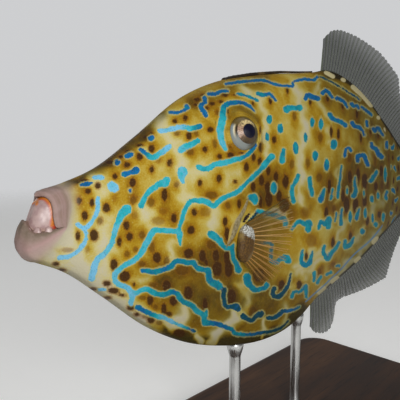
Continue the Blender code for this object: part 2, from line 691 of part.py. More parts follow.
def make_dorsal_spine(parts, cutters):
    """The slender first dorsal spine, folded down along the back."""
    steps = 16
    path, radii = [], []
    for i in range(steps + 1):
        share = i / steps
        s = SPINE_SPAN[0] + (SPINE_SPAN[1] - SPINE_SPAN[0]) * share
        path.append(place(s, 0.0, smooth_through(BACK_LINE, s) + along(SPINE_LIFT, share)))
        radii.append((along(SPINE_RADII, share),) * 2)
    spine = tube("dorsal_spine", path, radii, Vector((0.0, 1.0, 0.0)), 10, parts)
    grown = loft("cut_spine", [body_ring(s, GAP) for s in TRUNK_STATIONS[:13]], cutters)
    boolean(spine, grown, "DIFFERENCE")
    apply_and_keep_largest(spine)
    return spine


def make_stand(parts, cutters):
    """A flat base with two upright rods that end inside the belly."""
    length, width, height = BASE_SIZE
    base_x = BASE_CENTRE_S + NOSE_X
    bm = bmesh.new()
    bmesh.ops.create_cube(bm, size=1.0)
    bmesh.ops.scale(bm, verts=bm.verts, vec=BASE_SIZE)
    bmesh.ops.translate(bm, verts=bm.verts, vec=(base_x, 0.0, height / 2))
    upright = [edge for edge in bm.edges if abs(edge.verts[0].co.z - edge.verts[1].co.z) > height / 2]
    bmesh.ops.bevel(bm, geom=upright, offset=BASE_CORNER_RADIUS, segments=6, profile=0.5,
                    affect="EDGES")
    rim = [edge for edge in bm.edges if min(vert.co.z for vert in edge.verts) > height * 0.9]
    bmesh.ops.bevel(bm, geom=rim, offset=BASE_EDGE_RADIUS, segments=2, profile=0.5, affect="EDGES")
    base = mesh_object("stand_base", bm, parts)
    rods = []
    for name, s in ROD_STATIONS.items():
        x = s + NOSE_X
        top = smooth_through(BELLY_LINE, s) + AXIS_Z + ROD_DEPTH_IN_BELLY
        foot = height - ROD_DEPTH_IN_BASE
        rods.append(cylinder(name, x, 0.0, foot, top, ROD_RADIUS, 16, parts))
        hole = cylinder("cut_base_" + name, x, 0.0, foot - GAP, height + 0.01, ROD_RADIUS + GAP, 16,
                        cutters)
        boolean(base, hole, "DIFFERENCE")
    apply_and_keep_largest(base)
    return [base] + rods


def give_material(piece, name):
    """Put one of the finishes on a piece."""
    material = bpy.data.materials.get(name)
    if material is None:
        colour, roughness, metallic = FINISHES[name]
        material = bpy.data.materials.new(name)
        material.use_nodes = True
        shader = material.node_tree.nodes["Principled BSDF"]
        shader.inputs["Base Color"].default_value = (*colour, 1.0)
        shader.inputs["Roughness"].default_value = roughness
        shader.inputs["Metallic"].default_value = metallic
    piece.data.materials.clear()
    piece.data.materials.append(material)


def shade_round(piece):
    """Shade a piece smooth, except across its sharp edges."""
    piece.data.shade_smooth()
    piece.data.set_sharp_from_angle(angle=math.radians(40.0))


def build():
    """Make every node of the fish and its stand."""
    clear_scene()
    parts = new_collection("filefish")
    cutters = new_collection("cutters")
    head = make_head(parts, cutters)
    trunk = make_trunk(parts, cutters)
    tail = make_tail(parts)
    eyes = [make_eye("eye_left", -1, parts), make_eye("eye_right", 1, parts)]
    teeth_low, lip_up, lip_low, teeth_up = make_mouth(parts, cutters)
    fins = [
        median_fin("dorsal_fin", DORSAL_SPAN, DORSAL_RAYS, (DORSAL_LENGTH, DORSAL_SLOPE, DORSAL_LEAN),
                   BACK_LINE, 1, parts),
        median_fin("anal_fin", ANAL_SPAN, ANAL_RAYS, (ANAL_LENGTH, ANAL_SLOPE, ANAL_LEAN),
                   BELLY_LINE, -1, parts),
        make_tail_fin(parts),
        make_pectoral_fin("pectoral_fin_left", -1, parts, cutters),
        make_pectoral_fin("pectoral_fin_right", 1, parts, cutters),
    ]
    spine = make_dorsal_spine(parts, cutters)
    base, *rods = make_stand(parts, cutters)
    finished = {"skin": [head, trunk, tail], "lip": [lip_up, lip_low], "tooth": [teeth_up, teeth_low],
                "eye": eyes, "fin": fins, "spine": [spine], "stand_wood": [base], "stand_steel": rods}
    for name, pieces in finished.items():
        for piece in pieces:
            give_material(piece, name)
            shade_round(piece)


build()
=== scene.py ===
"""A life-size scrawled filefish on its display stand, finished as a museum shows it.

Places on the fish are (s, y, z) in metres: s runs from the tip of the lower lip to the
end of the tail fin, y is negative on the fish's left side, and z is measured from the
line between the mouth and the root of the tail fin. The markings of the left side are
given where the camera sees them, as (across, down) in a frame of 400 by 400, and fall
on the skin from the camera. The right side carries a looser copy of them.
"""
import math

import bpy
import numpy as np
from mathutils import Matrix, Vector


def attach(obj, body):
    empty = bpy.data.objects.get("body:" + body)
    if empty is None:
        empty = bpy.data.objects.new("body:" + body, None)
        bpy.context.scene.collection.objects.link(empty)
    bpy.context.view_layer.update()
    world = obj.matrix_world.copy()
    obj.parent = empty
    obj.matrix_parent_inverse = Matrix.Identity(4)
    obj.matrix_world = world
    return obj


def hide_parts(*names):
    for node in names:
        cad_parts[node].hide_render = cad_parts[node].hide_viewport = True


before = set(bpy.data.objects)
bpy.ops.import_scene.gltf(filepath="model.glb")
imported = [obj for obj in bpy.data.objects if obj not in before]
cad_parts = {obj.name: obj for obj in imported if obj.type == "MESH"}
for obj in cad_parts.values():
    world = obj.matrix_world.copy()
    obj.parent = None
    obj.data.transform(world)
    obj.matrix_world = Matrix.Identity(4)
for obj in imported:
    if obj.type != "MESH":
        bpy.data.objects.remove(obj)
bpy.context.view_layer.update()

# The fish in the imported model's frame
TOTAL_LENGTH = 0.540
NOSE_X = -TOTAL_LENGTH / 2
AXIS_Z = 0.1495

# The camera's place on the fish's own scale; its focal length counts frame units
CAMERA_AT = np.array([-0.0602, -0.1462, 0.0218])
CAMERA_YAW = math.radians(45.0)
CAMERA_PITCH = math.radians(5.4)
FRAME_SIZE = 400.0
FOCAL_LENGTH = 444.0
SENSOR_WIDTH = 36.0

# Outline of the body as (s, height or half width)
BACK_LINE = [(0.012, 0.0113), (0.032, 0.0188), (0.052, 0.0320), (0.073, 0.0474), (0.100, 0.0588),
             (0.120, 0.0632), (0.145, 0.0677), (0.170, 0.0714), (0.184, 0.0738), (0.194, 0.0761),
             (0.207, 0.0766), (0.222, 0.0744), (0.251, 0.0658), (0.285, 0.0495), (0.326, 0.0285),
             (0.350, 0.0205), (0.372, 0.0180), (0.390, 0.0190)]
BELLY_LINE = [(0.004, -0.0132), (0.016, -0.0192), (0.032, -0.0320), (0.052, -0.0490),
              (0.073, -0.0620), (0.100, -0.0725), (0.128, -0.0786), (0.148, -0.0795),
              (0.168, -0.0758), (0.184, -0.0693), (0.208, -0.0635), (0.251, -0.0530),
              (0.285, -0.0415), (0.326, -0.0270), (0.350, -0.0200), (0.372, -0.0180),
              (0.390, -0.0190)]
HALF_WIDTH = [(0.005, 0.0078), (0.012, 0.0085), (0.032, 0.0112), (0.060, 0.0155), (0.092, 0.0198),
              (0.115, 0.0217), (0.140, 0.0222), (0.170, 0.0208), (0.200, 0.0178), (0.250, 0.0125),
              (0.300, 0.0080), (0.350, 0.0050), (0.390, 0.0034)]
SHARPNESS = [(0.010, 0.80), (0.045, 0.95), (0.090, 1.15), (0.200, 1.30), (0.340, 1.15),
             (0.390, 0.90)]
EDGE_HALF_WIDTH = 0.0013
EDGE_ROUNDING = 0.0014
MOUTH_S = 0.0112
MOUTH_LEAN = 0.0058
MOUTH_CORNER_SETBACK = 0.0032
LEAN_END_S = 0.060
TAIL_FIN_S = 0.386
# Rings that close the skin over the tail fin's root, as (s, share of width, share of height)
TAIL_SHEATH = [(0.3880, 0.92, 1.00), (0.3905, 0.76, 0.99), (0.3935, 0.50, 0.98),
               (0.3960, 0.20, 0.96)]

# Waves that each unevenness is made of
WAVE_COUNT = 9

# Fineness of the skin: points up one side, and (first s, last s, step) between rings
SIDE_POINTS = 146
RING_SPACING = [(MOUTH_S, 0.125, 0.00085), (0.125, 0.250, 0.00125), (0.250, TAIL_FIN_S, 0.0019)]
PROFILE_POINTS = 300
ARC_SHARE = 0.85

# Lips: their rims from the lower lip's middle to the mouth's corner, and on to the
# upper lip's middle, as (share of the way, s, y, z)
LOWER_RIM = [(0.00, 0.0022, 0.0000, 0.0013), (0.12, 0.0021, -0.0016, 0.0008),
             (0.24, 0.0024, -0.0031, -0.0010), (0.38, 0.0030, -0.0044, -0.0024),
             (0.60, 0.0055, -0.0060, -0.0029), (0.84, 0.0099, -0.0070, -0.0022),
             (1.00, 0.0133, -0.0080, -0.0013)]
UPPER_RIM = [(0.00, 0.0133, -0.0080, -0.0013), (0.14, 0.0103, -0.0076, -0.0016),
             (0.30, 0.0093, -0.0074, 0.0014), (0.48, 0.0092, -0.0072, 0.0042),
             (0.68, 0.0091, -0.0053, 0.0074), (0.86, 0.0081, -0.0027, 0.0087),
             (1.00, 0.0068, 0.0000, 0.0084)]
CORNER_SHARE = 0.47
LIP_RINGS = 15
# How far each lip swells: first pull, then (s, y, z) pull before the rim, by share
LOWER_PULL = [(0.0, 0.0073), (0.5, 0.0060), (0.85, 0.0022), (1.0, 0.0003)]
LOWER_SWELL = [(0.0, -0.0036, 0.0000, -0.0052), (0.5, -0.0026, -0.0018, -0.0030),
               (0.85, -0.0012, -0.0008, -0.0012), (1.0, -0.0001, -0.0002, -0.0001)]
LOWER_FORWARD = 0.65
UPPER_PULL = [(0.0, 0.0003), (0.2, 0.0012), (0.5, 0.0022), (1.0, 0.0060)]
UPPER_SWELL = [(0.0, -0.0001, -0.0002, 0.0001), (0.2, -0.0003, -0.0010, 0.0002),
               (0.5, -0.0010, -0.0018, 0.0008), (1.0, -0.0026, 0.0000, 0.0024)]
# Rings that line the mouth behind the rim, as (share towards the throat, step inward)
MOUTH_LINING = [(0.02, 0.0007), (0.07, 0.0013), (0.18, 0.0017), (0.42, 0.0017), (0.75, 0.0008)]
THROAT = (0.0215, 0.0, 0.0005)
LIP_WRINKLES = 5.0
LIP_WRINKLE_DEPTH = 0.00010
# The place that the wrinkles point away from, and the lining's rise in the lower and upper lip
LIP_HEART = np.array([0.012, 0.0, 0.0])
LINING_RISE = (-0.0003, 0.0012)

# Eyes: their places and the opening between the lids, as (turn in degrees, radius)
# with 0 at the top and 90 towards the snout, and the lids' height as (radius, height)
EYE_RADIUS = 0.0093
EYE_CENTRE = (0.0985, -0.0121, 0.0321)
EYE_AXIS = (-0.22, -0.94, 0.26)
EYE_GAZE = (-0.24, -0.94, 0.19)
CORNEA_RISE = 0.0005
IRIS_ANGLE = 36.5
PUPIL_ANGLE = 19.5
LID_OPENING = [(-180, 0.0081), (-150, 0.0077), (-120, 0.0074), (-90, 0.0069), (-45, 0.0065),
               (0, 0.0067), (20, 0.0070), (55, 0.0075), (90, 0.0080), (127, 0.0084),
               (164, 0.0084), (180, 0.0081)]
LID_HEIGHT = [(0.0060, 0.00735), (0.0075, 0.0066), (0.0092, 0.0056), (0.0110, 0.0040),
              (0.0125, 0.0023), (0.0150, -0.0010), (0.0180, -0.0060)]
LID_DROP = [(-180, 0.0011), (-120, 0.0007), (-60, 0.0002), (0, 0.0), (60, 0.0002), (100, 0.0007),
            (140, 0.0012), (180, 0.0011)]
LID_BLEND = 0.0014
LID_REACH = 0.0150
LID_ROWS = 34
LID_COLUMNS = 150
EYE_CLEARANCE = 0.0014
# The skin shaped round an eye, as (radius, lowest height), and the eyeball's last angle
EYE_SURROUND = (0.022, -0.008)
EYEBALL_GRID = (60, 96)
EYEBALL_END = 115.0
# The lids' rolled edge as (distance from the opening, depth), the step to their first full
# row, the distances over which the skin rises under them, their crease as (depth, distance,
# half width), and their lift over the skin and their sinking into it at the outer edge
LID_ROLL = [(0.00022, -0.0022), (0.00000, -0.0011), (0.00002, -0.00055), (0.00018, -0.00018)]
LID_STEP = 0.0006
LID_RAMP = (0.0002, 0.0016)
LID_CREASE = (0.00016, 0.0021, 0.0005)
LID_LIFT = 0.00009
LID_SINK = 0.00028

# Free edge of the gill cover as (share, s, z, half width), the short dark gap behind it,
# and nostrils as (s, z) on the side
FLAP_LINE = [(0.0, 0.0972, 0.0045, 0.0003), (0.14, 0.0950, 0.0012, 0.0019),
             (0.30, 0.0925, -0.0022, 0.0031), (0.46, 0.0898, -0.0054, 0.0036),
             (0.62, 0.0880, -0.0094, 0.0035), (0.76, 0.0868, -0.0126, 0.0028),
             (0.89, 0.0850, -0.0154, 0.0018), (1.0, 0.0832, -0.0180, 0.0003)]
FLAP_RISE = 0.0009
GAP_TOP = (0.0992, -0.0030)
GAP_BOTTOM = (0.0940, -0.0076)
GAP_HALF_WIDTH = 0.0011
GAP_DEPTH = 0.0017
GROOVE_DEPTH = 0.0010
GROOVE_HALF_WIDTH = 0.0012
FLAP_GRID = (46, 15)
GAP_GRID = (30, 9)
NOSTRILS = [(0.0800, 0.0385), (0.0845, 0.0370)]
NOSTRIL_RADIUS = 0.0011
NOSTRIL_DEPTH = 0.0013
# Unevenness of the skin as (width of the bumps, seed, height)
SKIN_BUMPS = [(0.011, 11, 0.00022), (0.005, 12, 0.00007)]

# Fins. Median fins: span, number of rays, then length, backward slope in degrees and
# sideways lean in degrees, each as (share of the span, value)
DORSAL_SPAN = (0.193, 0.340)
DORSAL_RAYS = 46
DORSAL_TABLES = ([(0, 0.021), (0.05, 0.028), (0.1, 0.0315), (0.2, 0.035), (0.35, 0.036),
                  (0.5, 0.034), (0.7, 0.026), (1, 0.012)],
                 [(0, 8), (0.1, 17), (0.2, 24), (0.35, 32), (0.5, 40), (1, 54)],
                 [(0, 3), (0.1, 3), (0.2, 0), (0.35, -10), (0.5, -18), (0.7, -8), (1, 4)])
ANAL_SPAN = (0.187, 0.340)
ANAL_RAYS = 49
ANAL_TABLES = ([(0, 0.020), (0.03, 0.027), (0.06, 0.030), (0.1, 0.033), (0.15, 0.033),
                (0.19, 0.029), (0.25, 0.031), (0.5, 0.033), (0.8, 0.022), (1, 0.012)],
               [(0, 4), (0.08, 6), (0.13, 12), (0.19, 38), (0.5, 42), (1, 54)],
               [(0, 4), (0.08, 0), (0.13, 0), (0.19, 14), (0.25, 14), (0.35, 2), (0.5, -14),
                (0.7, -6), (1, 2)])
MEDIAN_ROWS = 22
RAY_COLUMNS = 8
FIN_ROOT_HALF = 0.0010
FIN_EDGE_HALF = 0.0004
WEB_HALF = 0.00014
FIN_SINK = 0.0008
TAIL_RAYS = 12
TAIL_ROWS = 46
TAIL_RAY_COLUMNS = 14
TAIL_ROOT_HALF_HEIGHT = 0.0172
TAIL_SPREAD = 15.0
TAIL_ROOT_HALF = 0.0022
TAIL_OUTER_LENGTH = 0.112
TAIL_BEND = 0.006
TAIL_ROUNDING = 2.4
TAIL_TAPER = 1.6
FIN_GAP = 0.0003
PECTORAL_RAYS = 15
PECTORAL_RAY_COLUMNS = 18
PECTORAL_ROWS = 34
PECTORAL_BASE = ((0.0945, -0.0070), (0.0925, -0.0240))
PECTORAL_SLOPE = (24.0, -56.0)
PECTORAL_LENGTH = [(0, 0.027), (0.3, 0.0295), (0.7, 0.0265), (0.9, 0.0195), (1, 0.012)]
PECTORAL_FLARE = 0.0042
PECTORAL_ROOT_HALF = 0.0009
PECTORAL_WEB_HALF = 0.00009
PECTORAL_JOINTS = 30.0
LOBE_RADII = (0.0052, 0.0028, 0.0087)
LOBE_PLACE = (0.0950, -0.0166)
LOBE_LEAN = 0.10
LOBE_RIDGES = 44
LOBE_LIFT = 0.0005
LOBE_GRID = (44, 176)

# The folded first dorsal spine
SPINE_SPAN = (0.1020, 0.1815)
SPINE_RADII = [(0, 0.0015), (0.12, 0.0011), (0.3, 0.0009), (1, 0.0004)]
SPINE_LIFT = [(0, -0.0008), (0.1, 0.0000), (0.25, 0.0006), (0.6, 0.0008), (1, 0.0004)]
SPINE_STEPS = 150
SPINE_SIDES = 18
# The fold of skin at its root: half thickness is at the foot and at the top
SPINE_FOLD_START = 0.1035
SPINE_FOLD_LENGTH = 0.030
SPINE_FOLD_HEIGHT = 0.0012
SPINE_FOLD_SINK = 0.0006
SPINE_FOLD_HALF = (0.0009, 0.00012)
SPINE_FOLD_GRID = (8, 60)

# Teeth
UPPER_TOOTH_CENTRE = (0.0150, 0.0, 0.0022)
UPPER_TOOTH_RADII = (0.0108, 0.0061, 0.0084)
UPPER_TOOTH_LEAN = 0.34
UPPER_TOOTH_GRID = (80, 110)
UPPER_TOOTH_BOXINESS = 0.78
# The groove between the two front teeth as (half width, depth), and how far the gum stands out
TOOTH_GROOVE = (0.00045, 0.00028)
GUM_RISE = 0.00018
# Where along the fish the plate passes into gum, and where painted shade darkens it into the mouth
GUM_START = (0.0088, 0.0102)
MOUTH_SHADE = (0.0098, 0.0120)
# The gum's edge along the lip, as (half width, places), and its yellow upper corner
GUM_LINE = (2.0, [(34, 200), (39.6, 198), (44.4, 198.4), (48.4, 202), (51.2, 207), (52.6, 212),
                  (52.8, 218), (52.0, 225)])
GUM_CORNER = (1.4, [(36.0, 198.5), (37.0, 201.5), (36.5, 204.0)])
LOWER_TEETH = 7
LOWER_TOOTH_ARC = (0.0125, 0.0106, 0.0066, -0.0042)
LOWER_TOOTH_RADII = (0.0009, 0.0014, 0.0030)
LOWER_TOOTH_SWEEP = 66.0
LOWER_TOOTH_GRID = (22, 24)
LOWER_TOOTH_BOXINESS = 0.8

# Stand
BASE_SIZE = (0.250, 0.120, 0.015)
BASE_CENTRE_S = 0.160
BASE_CORNER_RADIUS = 0.022
ROD_STATIONS = {"stand_rod_front": 0.112, "stand_rod_rear": 0.170}
ROD_RADIUS = 0.003
ROD_DEPTH_IN_BELLY = 0.012
ROD_DEPTH_IN_BASE = 0.004
ROD_SIDES = 40
# Profiles of the base's edge as (inset, height), and of a rod's foot above the base and its
# cup about the belly's edge as (radius, height)
BASE_PROFILE = [(0.0004, 0.0004), (0.0, 0.0012), (0.0, 0.0072), (0.0004, 0.0082),
                (0.0014, 0.0088), (0.0016, 0.0094), (0.0018, 0.0106), (0.0024, 0.0122),
                (0.0034, 0.0136), (0.0048, 0.0146), (0.0064, 0.0150), (0.0078, 0.0150)]
ROD_FOOT = [(0.0062, -0.0002), (0.0064, 0.0006), (0.0062, 0.0016), (0.0050, 0.0022),
            (0.0038, 0.0026), (0.0034, 0.0034)]
ROD_FOOT_HEIGHT = 0.0042
ROD_CUP = [(0.0032, -0.0052), (0.0036, -0.0040), (0.0042, -0.0020), (0.0046, 0.0004),
           (0.0044, 0.0016), (ROD_RADIUS, 0.0022)]
ROD_CUP_DEPTH = 0.006

# Lights as (name, kind, place, aim, width, strength): a round lamp is as wide as so many
# metres and a distant light as so many radians. Then the light of the room, of the backdrop
# and of the floor, and the distances at which the floor has faded out and is still whole.
LIGHTS = [("key", "AREA", (-0.43, -0.36, 0.25), (-0.17, 0.0, 0.15), 0.26, 1.65),
          ("fill", "AREA", (-0.20, -0.95, 0.25), (-0.12, 0.0, 0.15), 0.7, 0.6),
          ("far_side", "SUN", (0.10, 0.90, 0.30), (0.0, 0.0, 0.14), 0.7, 0.45),
          ("top", "AREA", (0.05, 0.25, 0.95), (0.0, 0.0, 0.1), 0.8, 0.9)]
ROOM_LIGHT = 0.19
BACKDROP_LIGHT = 0.76
FLOOR_GLOW = 0.34
FLOOR_FADE = (2.6, 0.7)

# Blue scrawls as (tones, half widths, places): tones and half widths are spread evenly
# along the stroke; tone 0 is pale sky, 1 turquoise, 2 azure and 3 dark teal
SNOUT_SCRAWLS = [
    ((2, 2), (1.6, 2.6, 1.2), [(81.5, 184.8), (87, 184), (92, 183)]),
    ((0, 0), (2.3, 2.3), [(94.5, 177.8), (98.5, 177.5), (102, 177.5)]),
    ((0, 0), (4.4, 5.2), [(111.5, 185.5), (113.5, 187.5)]),
    ((0, 0), (2.3, 2.3), [(97.8, 198.3), (97.8, 208.5), (94.6, 217.4), (90.1, 223.8), (85, 228.2),
        (77.4, 224.4)]),
    ((0, 0), (2.0, 2.3), [(85, 228.2), (86.3, 235.3), (84.4, 242.9), (79.3, 249.3), (73.6, 254.4),
        (67.2, 256.9), (59.5, 257.6)]),
    ((0.9, 0), (5, 2.8, 2.6, 2.8, 3.2, 3.6), [(126.4, 209.6), (121.9, 214), (118.7, 220.4),
        (115.5, 228.7), (113.6, 235.7), (111.7, 243.4), (108.5, 249.1), (103.4, 254.2),
        (98.3, 258.7), (95.1, 264.4), (93.2, 271.4), (91.9, 278.4)]),
    ((0, 0), (1.5, 1.5), [(99, 289.7), (105, 289.7)])]
FOREHEAD_SCRAWLS = [
    ((2, 2), (2.6, 2.9), [(116.3, 163.2), (117.5, 162.4)]),
    ((2, 2), (2.4, 2.4), [(127, 156.2), (131.2, 154.6)]),
    ((2, 2), (2.5, 2.5), [(150, 138.4), (152, 137.6)]),
    ((2, 1, 0), (2.3, 3), [(141, 149.3), (144.2, 151.9), (148.7, 155.7), (153.1, 157.6),
        (158.9, 153.8), (164, 150.6), (169.1, 146.8)]),
    ((2, 2), (2.8, 2, 3.8), [(124.4, 174.2), (130.2, 172.9), (134.6, 170.4), (136, 170)]),
    ((2, 2), (1.7, 1.7), [(130.2, 190), (130.2, 191.6)]),
    ((1, 1), (3.3, 3.6, 3, 2.8, 2.5, 2.5, 3), [(166.5, 180), (166, 182.5), (160.2, 183.8),
        (153.8, 187.6), (147.4, 193.3), (143.6, 200.4), (141, 206.1)]),
    ((0, 0, 2), (2.5, 2.5), [(160.2, 130.8), (166.5, 130.2), (174.2, 128.3), (181.8, 127),
        (189.5, 128.3), (192.3, 128.3), (200, 126.4)]),
    ((0.5, 1.2), (3.4, 2.6), [(181.2, 150), (184.7, 147), (191, 144.2), (198, 141)]),
    ((0.6, 0.6), (5.2, 3.2, 1.5), [(182.5, 171.8), (181.8, 176.5), (183, 182.3)])]
EYE_SCRAWLS = [
    ((2, 2), (1.6, 1.6), [(170, 112.3), (177.7, 112.3), (184, 110.4), (187.9, 107.2),
        (186, 105.3)]),
    ((2, 2), (2.3, 2.3), [(204.4, 98.3), (205, 101.5), (201.3, 105.3), (201.3, 107.9),
        (204.4, 112.3), (205.7, 115.5)]),
    ((2, 2), (2, 1.6), [(208.9, 93.8), (215.9, 93.8), (221, 91.3), (227.4, 90.6)]),
    ((1.6, 1.6), (1.5, 1.5), [(237.6, 93.8), (243.3, 95.1), (249.7, 97), (257.4, 100.8)]),
    ((1.6, 2), (2.4, 1.5), [(258, 93.8), (262.5, 95.1), (269.5, 94), (273.4, 97.6),
        (275.3, 100.2)]),
    ((2, 2, 1.4), (0.8, 1.5, 2, 2, 2.2, 2.5, 2.8, 2.8), [(254.8, 111.7), (250.4, 107.2),
        (245.3, 104), (238.9, 102.4), (232.5, 102.8), (227.4, 104), (224.2, 106.6), (222.9, 111)]),
    ((1.4, 0.7, 0.7), (3, 3.6, 3.8, 3.4, 2.8, 2), [(222.9, 111), (222.9, 117.4), (221, 125.7),
        (220.4, 133.4), (221.7, 140.4), (223.6, 146.1), (225.5, 149.3)]),
    ((1, 1, 2), (2.8, 2.5, 1.8), [(198.7, 167.2), (203.8, 169.1), (209.5, 167.8), (214.6, 164.6),
        (222.3, 163.3), (227.4, 162.1), (233.8, 160.2), (241.4, 158.2), (247.8, 154.4),
        (252.3, 149.3), (255.5, 144.8)])]
CHEEK_SCRAWLS = [
    ((1.2, 1.1, 1), (3.4, 2.4, 2.3, 2.4, 2.7, 2.6, 2.2, 2), [(271.5, 157), (269.5, 158.9),
        (261.8, 168.4), (254.8, 175.5), (249.7, 180), (244.6, 185.1), (238.9, 190.8),
        (231.2, 194.7), (224.2, 197.9), (218.5, 201.7), (214, 205.5), (209.5, 203.6), (204.4, 201),
        (198, 201), (191, 201), (187.2, 205.5), (184, 211.9), (182.1, 219.5), (179.6, 227.2),
        (178.7, 231.9)]),
    ((1, 1), (3, 1.2), [(179.3, 233), (179.9, 240.8), (180.5, 245)]),
    ((0.8, 0.8, 0.6, 0.2), (2.6, 3.2, 2.6, 2.6, 3), [(178, 231.5), (172.9, 231.3), (165.3, 230.6),
        (158.9, 230), (153.8, 230.6), (151.2, 234.4), (148.7, 239.5), (144.8, 245.9),
        (141.7, 252.3), (137.8, 256.8), (133.4, 260.6), (128.3, 263.1), (123.2, 266.3),
        (118.1, 270.8), (114.9, 275.3), (115.5, 281.6), (120.6, 285.5), (125.7, 287),
        (130.8, 291.9), (132.1, 297), (130.8, 302.7)]),
    ((1.6, 1.6, 1.5), (2.4, 2.8, 2.6, 2.6, 4), [(142.3, 270.8), (146.1, 270.8), (151.2, 272.1),
        (157.6, 271.4), (165.3, 268.9), (171.6, 265.7), (176, 261.3), (180.2, 261), (187.2, 262.9),
        (193.6, 262.3), (196.1, 266.7), (201.9, 269.3), (208.3, 270.6), (208.9, 275.7),
        (209.5, 280), (213.4, 282.8), (217.2, 284.7), (218.5, 286)]),
    ((0.4, 1.4, 1.6, 1.0, 2.0, 1.4, 2.6, 3), (2.5, 2.6, 2.6, 2.8, 2.6, 2.4, 1.8, 1.8, 1),
        [(132, 292), (134.6, 293.1), (141, 290.6), (146.1, 289.3), (152.5, 291.8), (158.9, 294.4),
        (165.3, 294.4), (172.9, 291.8), (176.4, 293), (179.6, 298.1), (184.7, 302.5), (191, 305.1),
        (195.5, 309.5), (200.6, 313.4), (205.1, 315.3), (204.4, 318.5), (204.4, 322.9),
        (210.8, 322.9), (218.5, 324.2), (224.8, 326.8), (231.2, 329.3), (235.7, 333.8),
        (241.4, 334.4), (248.4, 334.4), (256.1, 333.8), (262.5, 332.5), (269.5, 331.9),
        (278.2, 329.1), (283.2, 326.3), (288.1, 320.7)]),
    ((1.4, 1.4), (1.4, 1.8), [(206.4, 311), (205.6, 315)]),
    ((2, 1.6, 0, 0.5, 2.6), (2.8, 2.2, 1.3), [(137.8, 307.2), (144.2, 311), (150.6, 313.6),
        (158.9, 316.8), (163.3, 317.4), (169.7, 320.6), (176.1, 323.8), (182.5, 326.3),
        (190, 329.5), (194.9, 331.2)])]
FLANK_SCRAWLS = [
    ((1.2, 1.4), (4, 3.4, 2.6, 2, 1.4), [(211, 234), (214, 236), (218, 238.5), (222, 244.5),
        (226, 248.2), (231, 247.5), (234, 244)]),
    ((1.4, 1.5), (2.5, 2.2, 2.6, 3.2), [(232.5, 247), (232.5, 253.3), (233.8, 259.7), (237, 264.8),
        (238.5, 270.4)]),
    ((1.3, 1.3), (3.6, 3.8, 2.6), [(251.2, 197.8), (254.4, 197.6), (255, 201.5)]),
    ((2.8, 2.8), (1.5, 1.5), [(258, 211.3), (253.6, 216.4), (249.7, 221.5)]),
    ((1.2, 1.2), (2, 2.6), [(258, 211.3), (266.4, 213.2), (277.9, 216.3), (285.5, 220.8),
        (285.5, 224.6)]),
    ((1.4, 1.4), (1.5, 1.7, 2, 3.2), [(258, 243.5), (271, 243.5), (270.8, 256), (271.2, 260.4),
        (275.4, 262.5), (281, 259), (286.7, 257.5), (288, 260.8)]),
    ((1.5, 1.5), (4, 3.8, 3, 2.8, 2.3, 2.5, 2.5), [(247.2, 277), (247.8, 281.5), (251, 286.6),
        (254.8, 289.8), (260.6, 289.1), (265, 287.2), (266.9, 284.7)]),
    ((2.7, 2.4), (2.6, 2.4, 2.2, 2.4, 3.4), [(224.2, 289.8), (223.6, 295.5), (224.2, 301.3),
        (226.1, 306.4), (231.2, 307), (236.3, 306.4), (237.6, 308.3)]),
    ((2.7, 2.7), (3, 2.3, 2.3, 2.3, 3.2), [(242.7, 315.9), (248.4, 319.7), (251, 320.4),
        (255.5, 316.6), (261.2, 314)]),
    ((2.7, 2.4, 1.6), (2, 2, 1.2), [(267.7, 317.9), (272.6, 317.9), (278.2, 315.1), (283.2, 310.9),
        (288.1, 310.9), (291.6, 310.2), (299.3, 306.7)]),
    ((2.6, 2.8), (1.3, 1.8, 2.5, 2.3), [(290.9, 273), (289.5, 279.3), (288.1, 285.6),
        (283.9, 291.9), (278.9, 296.8), (274, 296.1), (272.6, 291.9), (274.7, 288.4)]),
    ((1.5, 1.5), (2, 1.5, 2, 1.3), [(291.6, 296.8), (294.4, 291.9), (299.3, 291.9), (303.5, 289.1),
        (305.6, 285.6), (306.3, 291.9), (306.3, 297.5)]),
    ((1.4, 1.6, 1.5), (1.3, 2.3, 2.5, 1.4), [(302.8, 249.8), (301.4, 256.1), (302.1, 262.5),
        (304.2, 265.3), (309.1, 263.2), (311.2, 257.5), (312.3, 251.9)]),
    ((1.5, 1.5), (1.9, 2.5, 1.4), [(324.6, 246.3), (323.2, 251.2), (325.3, 256.1), (327.4, 258.9),
        (330.9, 254), (335.8, 248.4), (339.3, 242.1)]),
    ((1.5, 1.5), (1.9, 2.5, 1.1), [(344.9, 241), (345.6, 247), (349.8, 244.7), (354, 237.7)]),
    ((1.5, 1.5), (1.6, 1.6), [(336.9, 266), (338.8, 265.6)]),
    ((1.5, 1.5), (1.5, 1.5), [(326.6, 274.4), (331, 272.6)]),
    ((1.5, 1.5), (1.8, 1.8), [(314, 272.8), (314, 280.2)]),
    ((1.5, 1.5), (1.3, 1.9), [(321, 276.5), (317.5, 282.8)])]
